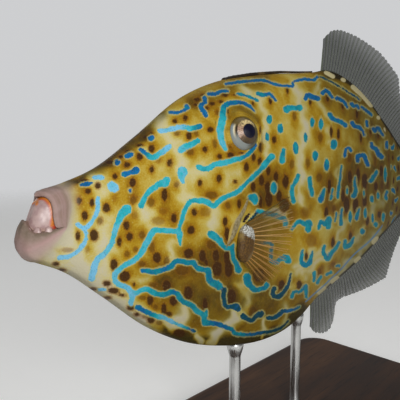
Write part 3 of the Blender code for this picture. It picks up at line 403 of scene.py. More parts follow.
BACK_SCRAWLS = [
    ((2, 2), (1.5, 1.5), [(226, 84), (240, 82), (250, 81), (260, 80.4), (266.4, 81), (272.8, 83.6),
        (279.1, 85.5), (286.8, 85.5), (292.5, 86.1), (293.2, 82.3), (298.3, 80.4), (304.6, 79.1),
        (309.7, 79.8), (314.2, 79.8), (316.8, 77.2)]),
    ((2.6, 2.8, 2.4), (0.9, 0.9), [(316.8, 77.2), (320.6, 77.2), (327, 79.8), (333.3, 83),
        (342.9, 88.7), (350.6, 93.8), (359.5, 99.5)]),
    ((2, 2), (1.5, 1.5), [(361.7, 107.2), (366.8, 111), (371.3, 114.8)]),
    ((1.3, 1.3), (4, 3, 2.4, 2.6, 3.5), [(286.8, 109.1), (290.6, 107.8), (295.7, 107.8),
        (298.9, 107.8)]),
    ((2, 2), (2.2, 2.8), [(305.3, 98.9), (307.2, 95.1), (312.3, 97), (317.4, 98.3)]),
    ((2, 2), (2.2, 1.4), [(322.5, 93.2), (325.7, 90.6), (329.5, 93.8), (332.1, 97.6)]),
    ((2, 2), (2.2, 1.4), [(337.2, 98.3), (340.4, 99.5), (344.2, 102.1), (347.4, 107.2)]),
    ((2, 2), (2, 1.2), [(351.5, 104), (354, 105.9), (357.2, 105.9), (359.1, 109.1)]),
    ((1.8, 1.8), (2.2, 2.2), [(329.5, 114.2), (332.7, 118.7), (338.4, 120.6), (342.9, 123.1),
        (345.5, 125.7)]),
    ((2, 2), (2.4, 1.2), [(352.1, 123.1), (354.7, 126.3), (358.5, 127), (362.3, 130.8),
        (364.2, 135.3)]),
    ((2, 2), (1.8, 1.8), [(367, 121.6), (367.3, 126)]),
    ((2, 2), (2, 1.2), [(373.2, 128.9), (375.1, 130.8), (377, 127.6), (380.8, 132.1),
        (383.4, 135.9)]),
    ((2, 2), (1.9, 1.5, 1.7), [(344.8, 155.7), (346.1, 149.3), (349.3, 148), (351.2, 150.6)]),
    ((2, 2), (2.2, 2.2, 1.8), [(357.5, 160.5), (358.2, 156.3), (363.2, 155.6), (366, 160.5),
        (368.1, 165.4)]),
    ((2, 2), (1.8, 2.5), [(371.3, 143.5), (372.5, 147.4), (375.7, 148.7), (378.3, 153.8),
        (381.5, 157)]),
    ((2, 2), (2.1, 2.1), [(387, 142.6), (387.4, 147)]),
    ((2, 2), (0.9, 0.9), [(390.4, 141.6), (393.6, 146.1)]),
    ((1.6, 1.6), (2.4, 2.4), [(398.4, 153), (398.6, 158)])]
SIDE_SCRAWLS = [
    ((1.3, 1.2), (2.3, 3), [(283.6, 150), (282.3, 156.4), (281.7, 160.8)]),
    ((1.4, 1.2), (2.3, 1.8, 2.8), [(298.3, 175.5), (295.7, 181.3), (292.5, 187.6), (291.9, 194.6),
        (293.8, 201)]),
    ((1.4, 1.4), (2.2, 2.2), [(309.7, 178), (310.4, 185.7), (312.3, 194.6)]),
    ((1.5, 1.8), (1.3, 3), [(324.4, 188.9), (323.1, 193.4), (320.6, 199.7)]),
    ((1.6, 1.6), (1.1, 1.1), [(332.7, 189.5), (330.8, 199.1)]),
    ((1.6, 1.6), (1.2, 1.5), [(341.3, 165.9), (340.7, 175.5), (339.1, 185.7), (337.5, 197.2)]),
    ((1.6, 1.6), (1, 1.6, 2.6), [(355, 177.4), (355, 185.7), (355.7, 190.8), (353.8, 195.9)]),
    ((1.6, 1.6), (1.8, 2.3), [(376.8, 171.8), (373.7, 176.7), (370.9, 180.9)]),
    ((1.6, 1.6), (1.5, 2.3), [(387, 192.1), (385.6, 195.6), (388.4, 199.8)]),
    ((1.6, 1.6), (1, 2), [(342, 208.7), (341, 217), (340.7, 224)]),
    ((1.6, 1.6), (1, 1), [(336.5, 212.5), (334.9, 221.4)]),
    ((1.6, 1.6), (1, 2.2), [(359.2, 208.5), (356.5, 218.5)]),
    ((1.5, 1.4), (1.5, 2, 2.4, 3), [(291.9, 229.1), (295.7, 224.6), (299.5, 221.4), (304.6, 224),
        (309.1, 222.1), (309.7, 225.3), (307.8, 229.7)]),
    ((1.5, 1.4), (1.8, 3), [(318.7, 228.4), (321.2, 222.1), (324.4, 224), (328.9, 218.9),
        (328.2, 226.5)])]
ALL_SCRAWLS = (SNOUT_SCRAWLS + FOREHEAD_SCRAWLS + EYE_SCRAWLS + CHEEK_SCRAWLS + FLANK_SCRAWLS
               + BACK_SCRAWLS + SIDE_SCRAWLS)
# Blue dots as (across, down, half width, half height)
BLUE_DOTS = [
    (269.2, 119.3, 3, 4.3), (267, 136.9, 2, 5), (280.4, 128.6, 3, 5), (312.3, 122.5, 2.2, 5),
    (320.9, 123.8, 2.3, 5.8), (305.6, 137.5, 2, 5.8), (295.7, 148, 3, 6.5),
    (333.7, 144.2, 3.3, 5), (315.2, 156, 2.9, 5.5), (326.6, 165, 2.8, 6.3), (274, 188.3, 3.3, 6),
    (347.1, 190.8, 1.2, 3.5), (363.9, 192.8, 1, 3), (350.2, 217, 2.1, 5.5),
    (365.3, 213.2, 1.7, 5), (372.6, 218.1, 1.4, 5.5), (375.8, 224.4, 2.2, 2.5),
    (383.5, 217.4, 1.8, 4.5), (395.4, 201.9, 2.3, 3), (362.5, 231.4, 2.6, 3.2),
    (371.9, 199.1, 1.9, 3.8), (378.2, 195.6, 1.6, 3.7), (385.3, 174.6, 1.6, 7),
    (393.3, 170.4, 2.8, 5), (396.8, 186.5, 1.5, 5.5),
]
# Brown spots as (across, down, half width, half height), from dark to faint
DARK_SPOTS = [
    (56, 264, 3.5, 2.2), (62, 270, 4, 1.8),
    (84.4, 180.4, 3.8, 1.6), (97.8, 185.5, 3, 3.5), (88.2, 191.2, 3.2, 3.2), (79.3, 200.8, 2.8, 4),
    (92.1, 202.7, 2.5, 4), (106.4, 208, 4, 5), (84.7, 215.5, 3, 5), (78, 235.9, 2.4, 5),
    (94, 235.5, 4.4, 5.8), (115, 176.2, 3, 3.2), (109.8, 162.4, 5, 1.8), (120.6, 156.7, 2.5, 2),
    (127.6, 151.6, 3.2, 1.5), (127, 164.6, 3.5, 3.2), (139.7, 145.2, 3.5, 1.8),
    (139.7, 156.7, 3.5, 4), (145.5, 137.2, 3, 2), (151.2, 133.7, 2, 1.5),
    (151.5, 148.7, 3.2, 4.5), (132.7, 182.5, 3.2, 5), (151.9, 169.4, 2.5, 4),
    (169.7, 163, 2.8, 3.8), (164.6, 194.6, 3.2, 6.5), (174, 218, 3, 5), (174.8, 120.9, 2.4, 2.5),
    (185.3, 118, 2.6, 3.5), (189, 135.9, 2.8, 4.2), (197.4, 99.6, 3.5, 2), (202.5, 95.1, 2, 1.2),
    (195.5, 104.7, 2.5, 1.3), (212, 103.7, 3, 2.2), (207, 107.9, 2.5, 2), (224.8, 95.1, 3.5, 2),
    (235, 95.1, 3, 1.1), (221, 101.5, 3, 1.8), (227.4, 111.7, 1.5, 3), (252.9, 103.4, 1.2, 3.5),
    (210.2, 129.5, 3.2, 2.6), (205, 149.3, 3, 3.3), (219.7, 156.3, 3, 3), (230.6, 155, 3.4, 3),
    (241.4, 153.1, 2.8, 1.2), (246.5, 167.2, 2.8, 5), (253.5, 157, 2.3, 4.5),
    (259.9, 161.4, 2.5, 4.5), (260.6, 147.4, 2.2, 5), (260.2, 129.5, 1, 4), (219.1, 178.6, 3, 4.2),
    (235, 181.8, 2, 2), (200.2, 183.1, 2.5, 3.7), (261.5, 180, 3, 6), (268.3, 171, 2.4, 5.8),
    (253, 186.8, 2.7, 5.3), (126.4, 225.5, 3.2, 5), (129.5, 236.4, 3.3, 4.5),
    (119.3, 241.5, 2.5, 5), (114, 265, 4, 6), (124.9, 276.3, 6, 5.5), (107, 283.5, 3.8, 3),
    (113.6, 290.6, 5.7, 3), (121.9, 295.1, 3.5, 1.8), (107.2, 297.6, 4, 1.6),
    (92.4, 289, 5, 1.7), (134, 284.2, 1.7, 2.5), (157, 257.4, 4.2, 5.5), (194.2, 212.5, 3, 4),
    (191, 229.9, 4, 4.6), (188.5, 253.5, 5, 5), (225.2, 221.5, 2.5, 5), (227.4, 234.2, 3, 7),
    (239.2, 203.6, 2.2, 5), (267.6, 187.6, 3, 7), (269, 199, 4, 8), (260.6, 201.7, 2, 7),
    (202.5, 255.9, 3.5, 6), (215.9, 255.3, 3.5, 7), (206.4, 262.9, 2, 3.5), (226.8, 256.5, 3, 8),
    (217.2, 268.7, 5, 8), (228.7, 268.7, 4, 9), (166.8, 286.1, 4.5, 6.5), (188.3, 292.8, 4.5, 7),
    (150, 300.8, 3.5, 5), (164, 309.1, 3, 6), (173.5, 301, 4.5, 5), (169, 314, 3, 3),
    (130.8, 307.8, 4, 3), (136.6, 314.2, 3, 2), (151.2, 320, 4, 3.5), (179.5, 333, 6.5, 4),
    (205.1, 304.4, 2.5, 7), (231.2, 296.8, 5, 8), (259, 275, 6, 7), (281.8, 285.6, 3.5, 6),
    (299.3, 284.9, 3, 5), (306.3, 257, 2, 5), (333, 242.8, 2, 6), (350.5, 237, 2, 6),
    (270.5, 100.2, 1.8, 4), (287.4, 90.6, 1.5, 5), (310.4, 101.5, 1.5, 4.5),
    (327.6, 98.3, 1.8, 4), (342.8, 105.6, 1.5, 4), (357, 113.8, 1.5, 5), (361, 136.5, 1.5, 6),
    (370.6, 130.8, 1.3, 5), (378.3, 134.6, 1.2, 4), (391.7, 146, 1.5, 6), (274.3, 139.7, 2.5, 4),
    (331.4, 132.1, 1.5, 6), (338.4, 134, 1.5, 6), (275.9, 176.8, 2.5, 6.5),
    (285.5, 181.3, 3.3, 7), (284.2, 205.5, 5, 7), (279, 195.9, 3, 6), (329.5, 187, 2, 8),
    (349.9, 177, 2.2, 7), (358.2, 174.6, 2, 7), (364.6, 180.9, 3, 8), (375.8, 186.5, 2, 5),
    (381.4, 171, 2, 6), (342.9, 195.9, 2, 7), (346.5, 205, 3, 9), (355.5, 205, 3, 8.5),
    (364.6, 200.5, 2.5, 7), (326.3, 212.5, 2.3, 6), (367.4, 220.9, 2, 5), (379.3, 214.6, 2, 4),
]
OCHRE_SPOTS = [
    (133.4, 199.7, 3.5, 4.5), (151.2, 202.3, 4, 5), (196.1, 133.4, 2.5, 3), (177, 133.4, 3, 2.5),
    (190.4, 151.9, 3.5, 3.5), (217.2, 112.3, 2.5, 3), (214.6, 143.6, 2.3, 4.5), (171, 163.3, 2, 4),
    (230, 147.4, 2, 1.5), (176.5, 184.7, 2.8, 3.3), (142.3, 235, 3.5, 4.5), (99.7, 220.8, 3, 4),
    (135.6, 249.7, 2.5, 3), (127, 254.2, 3, 4), (151.5, 246.5, 3.4, 6.2), (142.3, 263.8, 4, 3),
    (166.5, 261.2, 3, 5), (211.5, 195.3, 6, 4), (228, 205.5, 3, 4), (211.5, 244.4, 5, 5),
    (182.5, 270.3, 7, 5), (153.1, 284.9, 4, 3), (143, 297.6, 4, 2), (155.7, 307, 3, 3),
    (144.2, 316.8, 3, 2), (158.9, 322.5, 3, 2.5), (252.9, 312.1, 4, 6), (319.6, 272.3, 2, 4),
    (333.7, 264.6, 2.5, 3), (294.4, 116.1, 2, 5), (261.3, 147.4, 2.2, 4.5),
    (320.3, 137.8, 2.5, 5), (349.3, 157.5, 2.3, 5), (291.9, 164, 2.5, 5), (307.8, 162.8, 2.2, 5),
    (319.3, 177.4, 3, 5), (375.1, 160.5, 1.5, 5), (389.1, 158.4, 1.5, 6), (398.2, 171, 1.8, 5),
    (382, 185, 1.5, 5), (387.7, 183.7, 1.8, 5), (392, 185, 1.8, 7), (334, 208.7, 2, 5),
    (388.4, 213.2, 1.5, 4),
]
FAINT_SPOTS = [
    (67.2, 249.9, 5.8, 2.2), (87.6, 249.9, 2, 3), (114.4, 197.6, 1.5, 3), (158.9, 160.5, 2.5, 2.2),
    (134.6, 215.3, 3, 3.5), (158.9, 221, 6, 4), (291.9, 213.8, 4, 5), (305.3, 211.9, 3.5, 5),
    (311, 240.6, 5, 6), (205, 212, 5, 4), (163, 211, 4, 3),
]
# Soft bands as (strength, half width, places): pale ones, then dark olive ones that are partly
# painted shade
PALE_BANDS = [
    (1.5, 10, [(60, 200), (62, 235), (75, 258), (95, 285), (120, 305), (150, 325)]),
    (0.9, 8, [(105, 215), (100, 250), (100, 275)]), (0.6, 6, [(92, 174), (104, 192)]),
    (0.7, 4, [(154, 127), (164, 124)]), (0.5, 4, [(136, 146), (146, 148)]),
    (0.9, 6, [(158, 122), (172, 140), (182, 155), (182, 190), (190, 200)]),
    (0.8, 4, [(213, 208), (214, 232)]), (0.9, 4.5, [(176, 243), (172, 258)]),
    (0.8, 5, [(136, 283), (148, 282)]), (0.8, 6, [(142, 206), (150, 215), (155, 225)]),
    (0.9, 3.2, [(238, 88), (258, 97), (264, 115), (264, 140), (268, 160)]),
    (0.9, 3.6, [(295, 88), (299, 98), (303, 111), (307, 124), (301, 143), (300, 160), (303, 178)]),
    (0.8, 2.6, [(319, 82), (317, 89), (322, 103), (327, 111), (329, 136)]),
    (0.6, 2, [(363, 124), (368, 138), (370, 160)]), (0.6, 1.8, [(377, 141), (381, 150)]),
    (0.6, 3, [(316, 197), (321, 214)]), (1.3, 5.5, [(185, 310), (172, 328)]),
    (0.9, 5, [(114, 298), (128, 305)]), (1.3, 4, [(163, 323), (176, 328)]),
    (0.9, 5, [(240, 286), (245, 300), (238, 318)]),
    (1.5, 4.5, [(234, 316), (222, 328), (212, 343)]), (1.2, 3, [(264, 318), (263, 340)]),
    (1.2, 8, [(50, 259), (64, 269), (80, 281)]), (1.5, 3, [(196, 334), (203, 342)]),
    (0.8, 4.5, [(300, 275), (312, 262), (318, 250)]), (0.8, 3.5, [(285, 303), (284, 322)]),
    (0.6, 8, [(193, 176), (200, 172)]), (0.5, 6, [(320, 212), (335, 232)]),
    (0.5, 6, [(236, 170), (226, 186)]),
    (1.1, 2.8, [(322, 292), (335, 279), (350, 263), (366, 247), (380, 232)]),
    (0.9, 2.6, [(292, 290), (303, 281), (318, 262), (330, 252)]),
    (0.9, 2.6, [(350, 250), (362, 232), (372, 214), (384, 200)]),
    (0.9, 2.4, [(334, 240), (345, 222), (352, 205)]),
    (0.8, 2.2, [(296, 268), (306, 258), (312, 244)]),
    (0.9, 2.6, [(302, 176), (300, 192), (304, 204)]),
    (1.7, 3.4, [(266, 213), (275, 208), (281, 214)]),
    (0.8, 2.0, [(337, 172), (340, 190), (338, 206)]),
    (0.8, 2.0, [(362, 176), (360, 192), (352, 204)])]
# The dark olive bands are partly the skin's own colour and partly painted shade, where the lower
# body, the belly's edge and the rear lie away from the light
OLIVE_AND_SHADE_BANDS = [
    (0.75, 26, [(200, 300), (235, 300), (262, 300)]), (0.6, 22, [(210, 270), (225, 268)]),
    (0.55, 18, [(168, 282), (190, 290)]), (0.5, 26, [(345, 190), (372, 180), (400, 180)]),
    (0.45, 18, [(268, 190), (282, 205)]),
    (0.8, 3.5, [(70, 183), (110, 160), (150, 128), (165, 112)]),
    (0.5, 14, [(330, 84), (352, 105), (376, 132)]), (0.5, 10, [(250, 200), (262, 196)]),
    (0.55, 5, [(231, 112), (243, 108), (253, 116)]), (0.4, 3, [(233, 118), (229, 128)]),
    (0.6, 5, [(110, 306), (140, 324), (170, 336)]), (0.5, 20, [(290, 300), (272, 320)]),
    (1.25, 8, [(160, 332), (190, 341), (222, 345), (256, 343), (285, 330), (302, 312)]),
    (0.8, 6, [(270, 340), (288, 328)]), (0.5, 10, [(196, 322), (232, 330), (268, 322)]),
    (0.55, 8, [(194, 104), (212, 92), (232, 84), (262, 79)]), (0.35, 14, [(345, 280), (375, 240)]),
    (0.4, 8, [(330, 100), (350, 96), (372, 112)])]
BAND_SOFTNESS = 1.4
# Cream patches of the dark crest along the back and the belly, as (half width, places)
CREST_PATCHES = [
    (2.0, [(326, 72.5), (333, 76.5)]), (1.8, [(342.5, 79.5), (344, 80.3)]),
    (2.3, [(353, 87), (362, 95), (371, 105)]), (1.8, [(378.3, 117.4), (378.5, 117.8)]),
    (2.4, [(386, 129), (388, 131.5)]), (1.6, [(393.5, 137.5), (395, 139)]),
    (3.4, [(320, 291.5), (323, 289)]), (2.6, [(333, 281.5), (337, 278.5)]),
    (2.2, [(356, 261), (359, 258.5)]), (3.0, [(374.5, 241.8), (377, 239.5)]),
    (2.6, [(388, 226.3), (390, 224)]),
]
CREST_LINE = (0.8, [(305.6, 301.8), (313.3, 294.7), (323.2, 286.3), (330.2, 279.3),
                    (340.7, 269.5), (353.3, 255.3), (370.9, 239.8), (384.9, 223),
                    (396.1, 211.8)])
# The dark crest: its strength, its depth from the edge, and where along the fish it starts
CREST_STRENGTH = 0.95
CREST_DEPTH = (0.0046, 0.0074)
CREST_START = (0.178, 0.196)
# Where the sight of the camera ends, and the seeded marks behind it
SEEN_TO_S = 0.288
REAR_FADE = 0.012
REAR_UNIT = 0.00075
REAR_STEP = 0.0125
REAR_ROW = 0.0085
REAR_MARGIN = 0.003
# How far from a mark its field still counts, and how far the far side's copy wanders
FAR = 9.0
WANDER = 6.0


def at_place(s, y, z):
    """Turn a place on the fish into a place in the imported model's frame."""
    return np.array([s + NOSE_X, y, z + AXIS_Z])


def to_model(points):
    """Turn rows of (s, y, z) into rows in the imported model's frame."""
    return np.asarray(points, float) + np.array([NOSE_X, 0.0, AXIS_Z])


def smooth_through(pairs, where):
    """A smooth curve through (place, value, ...) rows, read at one or many places."""
    table = np.array(pairs, float)
    places, values = table[:, 0], table[:, 1:]
    slopes = np.gradient(values, places, axis=0)
    where = np.asarray(where, float)
    i = np.clip(np.searchsorted(places, where) - 1, 0, len(places) - 2)
    span = places[i + 1] - places[i]
    t = np.clip((where - places[i]) / span, 0.0, 1.0)[..., None]
    span = span[..., None]
    rise = t * t * (3.0 - 2.0 * t)
    bends = t * (1.0 - t) ** 2 * span * slopes[i] - t * t * (1.0 - t) * span * slopes[i + 1]
    read = values[i] + (values[i + 1] - values[i]) * rise + bends
    return read[..., 0] if values.shape[1] == 1 else read


def along(pairs, share):
    """Straight-line values at shares between 0 and 1 of (share, value) pairs."""
    shares, values = zip(*pairs)
    return np.interp(share, shares, values)


def smooth_step(low, high, value):
    """0 below low, 1 above high and smooth between them."""
    t = np.clip((value - low) / (high - low), 0.0, 1.0)
    return t * t * (3.0 - 2.0 * t)


def smooth_max(first, second, blend):
    """The larger of two values, with a rounded change between them."""
    return 0.5 * (first + second + np.sqrt((first - second) ** 2 + blend ** 2))


def unit(vector):
    """The same direction with length 1."""
    vector = np.asarray(vector, float)
    return vector / np.linalg.norm(vector, axis=-1, keepdims=True)


def waves(points, scale, seed):
    """Smooth seeded unevenness between about -1 and 1, with bumps about scale units wide."""
    count = WAVE_COUNT
    rng = np.random.default_rng(seed)
    directions = unit(rng.normal(size=(count, 3)))
    lengths = scale * rng.uniform(0.7, 1.8, count) * 2.0
    phases = rng.uniform(0.0, 2.0 * math.pi, count)
    turns = (points @ directions.T) * (2.0 * math.pi / lengths) + phases
    return np.sin(turns).sum(axis=-1) / math.sqrt(count) * 0.8


def grid(rows, columns, closed=False, flip=False):
    """Faces between neighbouring rows of points, and a flat layout for their corners."""
    across = columns if closed else columns - 1
    r, c = np.meshgrid(np.arange(rows - 1), np.arange(across), indexing="ij")
    after = (c + 1) % columns
    faces = np.stack([r * columns + c, r * columns + after, (r + 1) * columns + after,
                      (r + 1) * columns + c], -1).reshape(-1, 4)
    lengthways = np.stack([r, r, r + 1, r + 1], -1) / (rows - 1)
    crossways = np.stack([c, c + 1, c + 1, c], -1) / across
    uvs = np.stack([lengthways, crossways], -1).reshape(-1, 4, 2)
    if flip:
        faces, uvs = faces[:, ::-1], uvs[:, ::-1]
    return faces, uvs.reshape(-1, 2)


def capped_grid(rows, columns):
    """Faces and flat layout of a closed run of rings with a face over each end."""
    faces, uvs = grid(rows, columns, closed=True, flip=True)
    first = list(range(columns))
    last = [(rows - 1) * columns + c for c in reversed(first)]
    cap_uvs = [(end, c / columns) for end in (0.0, 1.0) for c in first]
    return list(faces) + [first, last], np.concatenate([uvs, cap_uvs])


def make_piece(name, points, faces, uvs, fields, replaced):
    """Turn points, faces and per-point fields into a piece that rides on the fish."""
    mesh = bpy.data.meshes.new(name)
    mesh.from_pydata(np.asarray(points).tolist(), [], [list(map(int, face)) for face in faces])
    layer = mesh.uv_layers.new(name="OFBake")
    layer.data.foreach_set("uv", np.asarray(uvs, np.float32).ravel())
    for field, values in (fields or {}).items():
        made = mesh.attributes.new(field, "FLOAT", "POINT")
        made.data.foreach_set("value", np.asarray(values, np.float32).ravel())
    mesh.shade_smooth()
    piece = bpy.data.objects.new(name, mesh)
    bpy.context.scene.collection.objects.link(piece)
    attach(piece, "root")
    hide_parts(*replaced)
    return piece


def join_grids(grids):
    """Stack several (points, faces, flat layout, fields) into one set."""
    points, faces, layouts, fields = [], [], [], {}
    count = 0
    for number, (some_points, some_faces, some_uvs, some_fields) in enumerate(grids):
        points.append(some_points)
        faces.append(some_faces + count)
        layouts.append((some_uvs + np.array([number, 0.0])) / np.array([len(grids), 1.0]))
        for field, values in some_fields.items():
            fields.setdefault(field, []).append(values)
        count += len(some_points)
    joined = {key: np.concatenate(values) for key, values in fields.items()}
    return np.concatenate(points), np.concatenate(faces), np.concatenate(layouts), joined


def body_half_width_at(s, z):
    """Half width of the body at places along it and heights on its side."""
    z_top = smooth_through(BACK_LINE, s)
    z_bottom = smooth_through(BELLY_LINE, s)
    up = 2.0 * (z - z_bottom) / (z_top - z_bottom) - 1.0
    share = np.sqrt(np.maximum(1.0 - up * up, 0.0)) ** smooth_through(SHARPNESS, s)
    return EDGE_HALF_WIDTH + (smooth_through(HALF_WIDTH, s) - EDGE_HALF_WIDTH) * share


def body_half_ring(s):
    """The near side of the body's section, as rows of (s, y, z) from belly to back."""
    nearness = max(0.0, 1.0 - (s - MOUTH_S) / (LEAN_END_S - MOUTH_S))
    s_top, s_bottom = s + MOUTH_LEAN * nearness, s - MOUTH_LEAN * nearness
    z_top = smooth_through(BACK_LINE, s_top)
    z_bottom = smooth_through(BELLY_LINE, s_bottom)
    angle = np.linspace(-math.pi / 2, math.pi / 2, PROFILE_POINTS)
    share = (np.sin(angle) + 1.0) / 2.0
    round_share = np.maximum(np.cos(angle), 0.0) ** smooth_through(SHARPNESS, s)
    width = EDGE_HALF_WIDTH + (smooth_through(HALF_WIDTH, s) - EDGE_HALF_WIDTH) * round_share
    height = z_bottom + (z_top - z_bottom) * share
    to_edge = np.minimum(height - z_bottom, z_top - height)
    width = width * np.sqrt(1.0 - (1.0 - np.clip(to_edge / EDGE_ROUNDING, 0.0, 1.0)) ** 2)
    back = MOUTH_CORNER_SETBACK * nearness * (1.0 - (2.0 * share - 1.0) ** 2)
    profile = np.stack([s_bottom + (s_top - s_bottom) * share + back, -width, height], -1)
    steps = np.linalg.norm(np.diff(profile, axis=0), axis=1)
    travelled = np.concatenate([[0.0], np.cumsum(steps)]) / steps.sum()
    spread = ARC_SHARE * travelled + (1.0 - ARC_SHARE) * np.linspace(0.0, 1.0, PROFILE_POINTS)
    wanted = np.linspace(0.0, 1.0, SIDE_POINTS + 1)
    return np.stack([np.interp(wanted, spread, profile[:, i]) for i in range(3)], -1)


def ring_stations():
    """Places along the fish of the skin's rings, from the mouth to the tail fin."""
    stations = []
    for first, last, step in RING_SPACING:
        count = int(round((last - first) / step))
        stations += list(np.linspace(first, last, count, endpoint=False))
    return stations + [TAIL_FIN_S]


def lip_rings(edge, behind):
    """Rings from the throat out over the lips to the head's edge, on the near side."""
    share = np.linspace(0.0, 1.0, SIDE_POINTS + 1)
    lower = share <= CORNER_SHARE
    way = np.where(lower, share / CORNER_SHARE, (share - CORNER_SHARE) / (1.0 - CORNER_SHARE))
    rim = np.where(lower[:, None], smooth_through(LOWER_RIM, way), smooth_through(UPPER_RIM, way))
    pull = np.where(lower, along(LOWER_PULL, way), along(UPPER_PULL, way))[:, None]
    swell = np.where(lower[:, None], smooth_through(LOWER_SWELL, way),
                     smooth_through(UPPER_SWELL, way))
    tangent = unit(edge - behind)
    ahead = unit((1.0 - LOWER_FORWARD) * tangent + LOWER_FORWARD * np.array([-1.0, 0.0, 0.0]))
    forward = np.where(lower[:, None], ahead, tangent)
    first = edge + forward * pull
    second = rim + swell
    rings = []
    for i in range(1, LIP_RINGS + 1):
        t = i / LIP_RINGS
        bend = (edge * (1 - t) ** 3 + first * 3 * t * (1 - t) ** 2 + second * 3 * t * t * (1 - t)
                + rim * t ** 3)
        wrinkle = math.sin(t * LIP_WRINKLES * 2.0 * math.pi) * LIP_WRINKLE_DEPTH
        size = smooth_step(0.15, 0.6, t) * (1.0 - smooth_step(0.92, 1.0, t))
        unevenness = 0.6 + 0.4 * waves(bend, 0.004, 3)
        outward = unit(bend - LIP_HEART)
        rings.append(bend + outward * (wrinkle * size * unevenness)[:, None])
    throat = np.array(THROAT)
    for depth, inward in MOUTH_LINING:
        middle = rim * np.array([1.0, 0.0, 1.0])
        middle[:, 2] += np.where(lower, *LINING_RISE)
        towards = unit(middle - rim)
        rings.append(rim + (throat - rim) * depth + towards * inward)
    return rings[::-1]


def close_centre(ring):
    """Keep the first and last points of a half ring in the fish's middle plane."""
    ring = ring.copy()
    ring[[0, -1], 1] = 0.0
    return ring


def skin_half_rings():
    """All rings of the near side, from the throat to the tail fin's root."""
    stations = ring_stations()
    body = [body_half_ring(s) for s in stations]
    last = body[-1]
    middle_z = 0.5 * (last[0, 2] + last[-1, 2])
    sheath = []
    for s, width, height in TAIL_SHEATH:
        ring = last.copy()
        ring[:, 0] += s - TAIL_FIN_S
        ring[:, 1] *= width
        ring[:, 2] = middle_z + (ring[:, 2] - middle_z) * height
        sheath.append(ring)
    rings = lip_rings(body[0], body[1]) + body + sheath
    return np.stack([close_centre(ring) for ring in rings])


def eye_axes(axis=EYE_AXIS):
    """Outward, upward and forward directions of the near eye."""
    outward = unit(axis)
    upward = unit(np.array([0.0, 0.0, 1.0]) - outward * outward[2])
    return outward, upward, np.cross(outward, upward)


def eye_polar(points):
    """Distance from the near eye's axis, turn in degrees and height along the axis."""
    outward, upward, forward = eye_axes()
    offset = points - np.array(EYE_CENTRE)
    up, fore = offset @ upward, offset @ forward
    return np.hypot(up, fore), np.degrees(np.arctan2(fore, up)), offset @ outward


def eye_place(radius, turn, height, axis=EYE_AXIS):
    """The place at a distance, turn and height from the near eye's centre."""
    outward, upward, forward = eye_axes(axis)
    turn = np.radians(turn)
    flat = (upward * np.cos(turn)[..., None] + forward * np.sin(turn)[..., None])
    return np.array(EYE_CENTRE) + flat * radius[..., None] + outward * height[..., None]


def lid_height(radius, turn, body_height):
    """Height of the skin round the eye, where the lids rise out of the cheek."""
    lid = smooth_through(LID_HEIGHT, np.maximum(radius, LID_HEIGHT[0][0]))
    lid = lid - along(LID_DROP, turn)
    return smooth_max(body_height, lid, LID_BLEND)


def body_height_at(radius, turn):
    """Height of the plain body under a place round the eye."""
    outward = eye_axes()[0]
    height = np.full(np.shape(radius), 0.004)
    for _ in range(12):
        point = eye_place(radius, turn, height)
        gap = -body_half_width_at(point[..., 0], point[..., 2]) - point[..., 1]
        height = height + 0.8 * gap / outward[1]
    return height


def shape_round_eye(points):
    """Raise the skin to the lids and sink it under the eyeball."""
    radius, turn, height = eye_polar(points)
    near = (radius < EYE_SURROUND[0]) & (height > EYE_SURROUND[1]) & (points[:, 1] < 0.0)
    r, t, h = radius[near], turn[near], height[near]
    opening = along(LID_OPENING, t)
    raised = lid_height(r, t, h)
    ball = np.sqrt(np.maximum(EYE_RADIUS ** 2 - np.minimum(r, EYE_RADIUS) ** 2, 0.0))
    sunk = np.minimum(ball - EYE_CLEARANCE, raised)
    share = smooth_step(*LID_RAMP, r - opening)
    moved = points.copy()
    moved[near] = eye_place(r, t, sunk + (raised - sunk) * share)
    return moved


def flap_offset(points):
    """How far places lie behind the gill cover's edge, and the share of the way down it."""
    table = np.array(FLAP_LINE)
    share = np.interp(-points[:, 2], -table[:, 2], table[:, 0])
    edge = smooth_through(FLAP_LINE, share)
    return points[:, 0] - edge[:, 0] - edge[:, 2], share


def shape_skin(points):
    """Lids, gill groove, nostril pits and the slight unevenness of real skin."""
    shaped = shape_round_eye(points)
    behind, share = flap_offset(shaped)
    ends = smooth_step(0.0, 0.2, share) * (1.0 - smooth_step(0.8, 1.0, share))
    sunk = np.exp(-((behind - 0.0003) / GROOVE_HALF_WIDTH) ** 2) * ends * GROOVE_DEPTH
    bottom, reach = np.array(GAP_BOTTOM), np.array(GAP_TOP) - np.array(GAP_BOTTOM)
    offset = shaped[:, [0, 2]] - bottom
    way = np.clip(offset @ reach / (reach @ reach), 0.0, 1.0)[:, None]
    off = np.linalg.norm(offset - way * reach, axis=1)
    width = GAP_HALF_WIDTH * (0.30 + 0.80 * np.sin(math.pi * way[:, 0]))
    sunk = sunk + np.exp(-(off / width) ** 2) * GAP_DEPTH
    for nostril in NOSTRILS:
        off = np.linalg.norm(shaped[:, [0, 2]] - nostril, axis=1)
        sunk = sunk + np.exp(-(off / NOSTRIL_RADIUS) ** 2) * NOSTRIL_DEPTH
    shaped[:, 1] += np.where(shaped[:, 1] < -0.004, sunk, 0.0)
    calm = smooth_step(0.030, 0.060, shaped[:, 0]) * smooth_step(0.0015, 0.0045, -shaped[:, 1])
    for width, seed, height in SKIN_BUMPS:
        shaped[:, 1] += waves(shaped, width, seed) * height * calm
    return shaped


def camera_axes():
    """The directions ahead, right and up of the camera."""
    yaw, pitch = CAMERA_YAW, CAMERA_PITCH
    ahead = np.array([math.sin(yaw) * math.cos(pitch), math.cos(yaw) * math.cos(pitch),
                      -math.sin(pitch)])
    right = np.array([math.cos(yaw), -math.sin(yaw), 0.0])
    return ahead, right, np.cross(right, ahead)


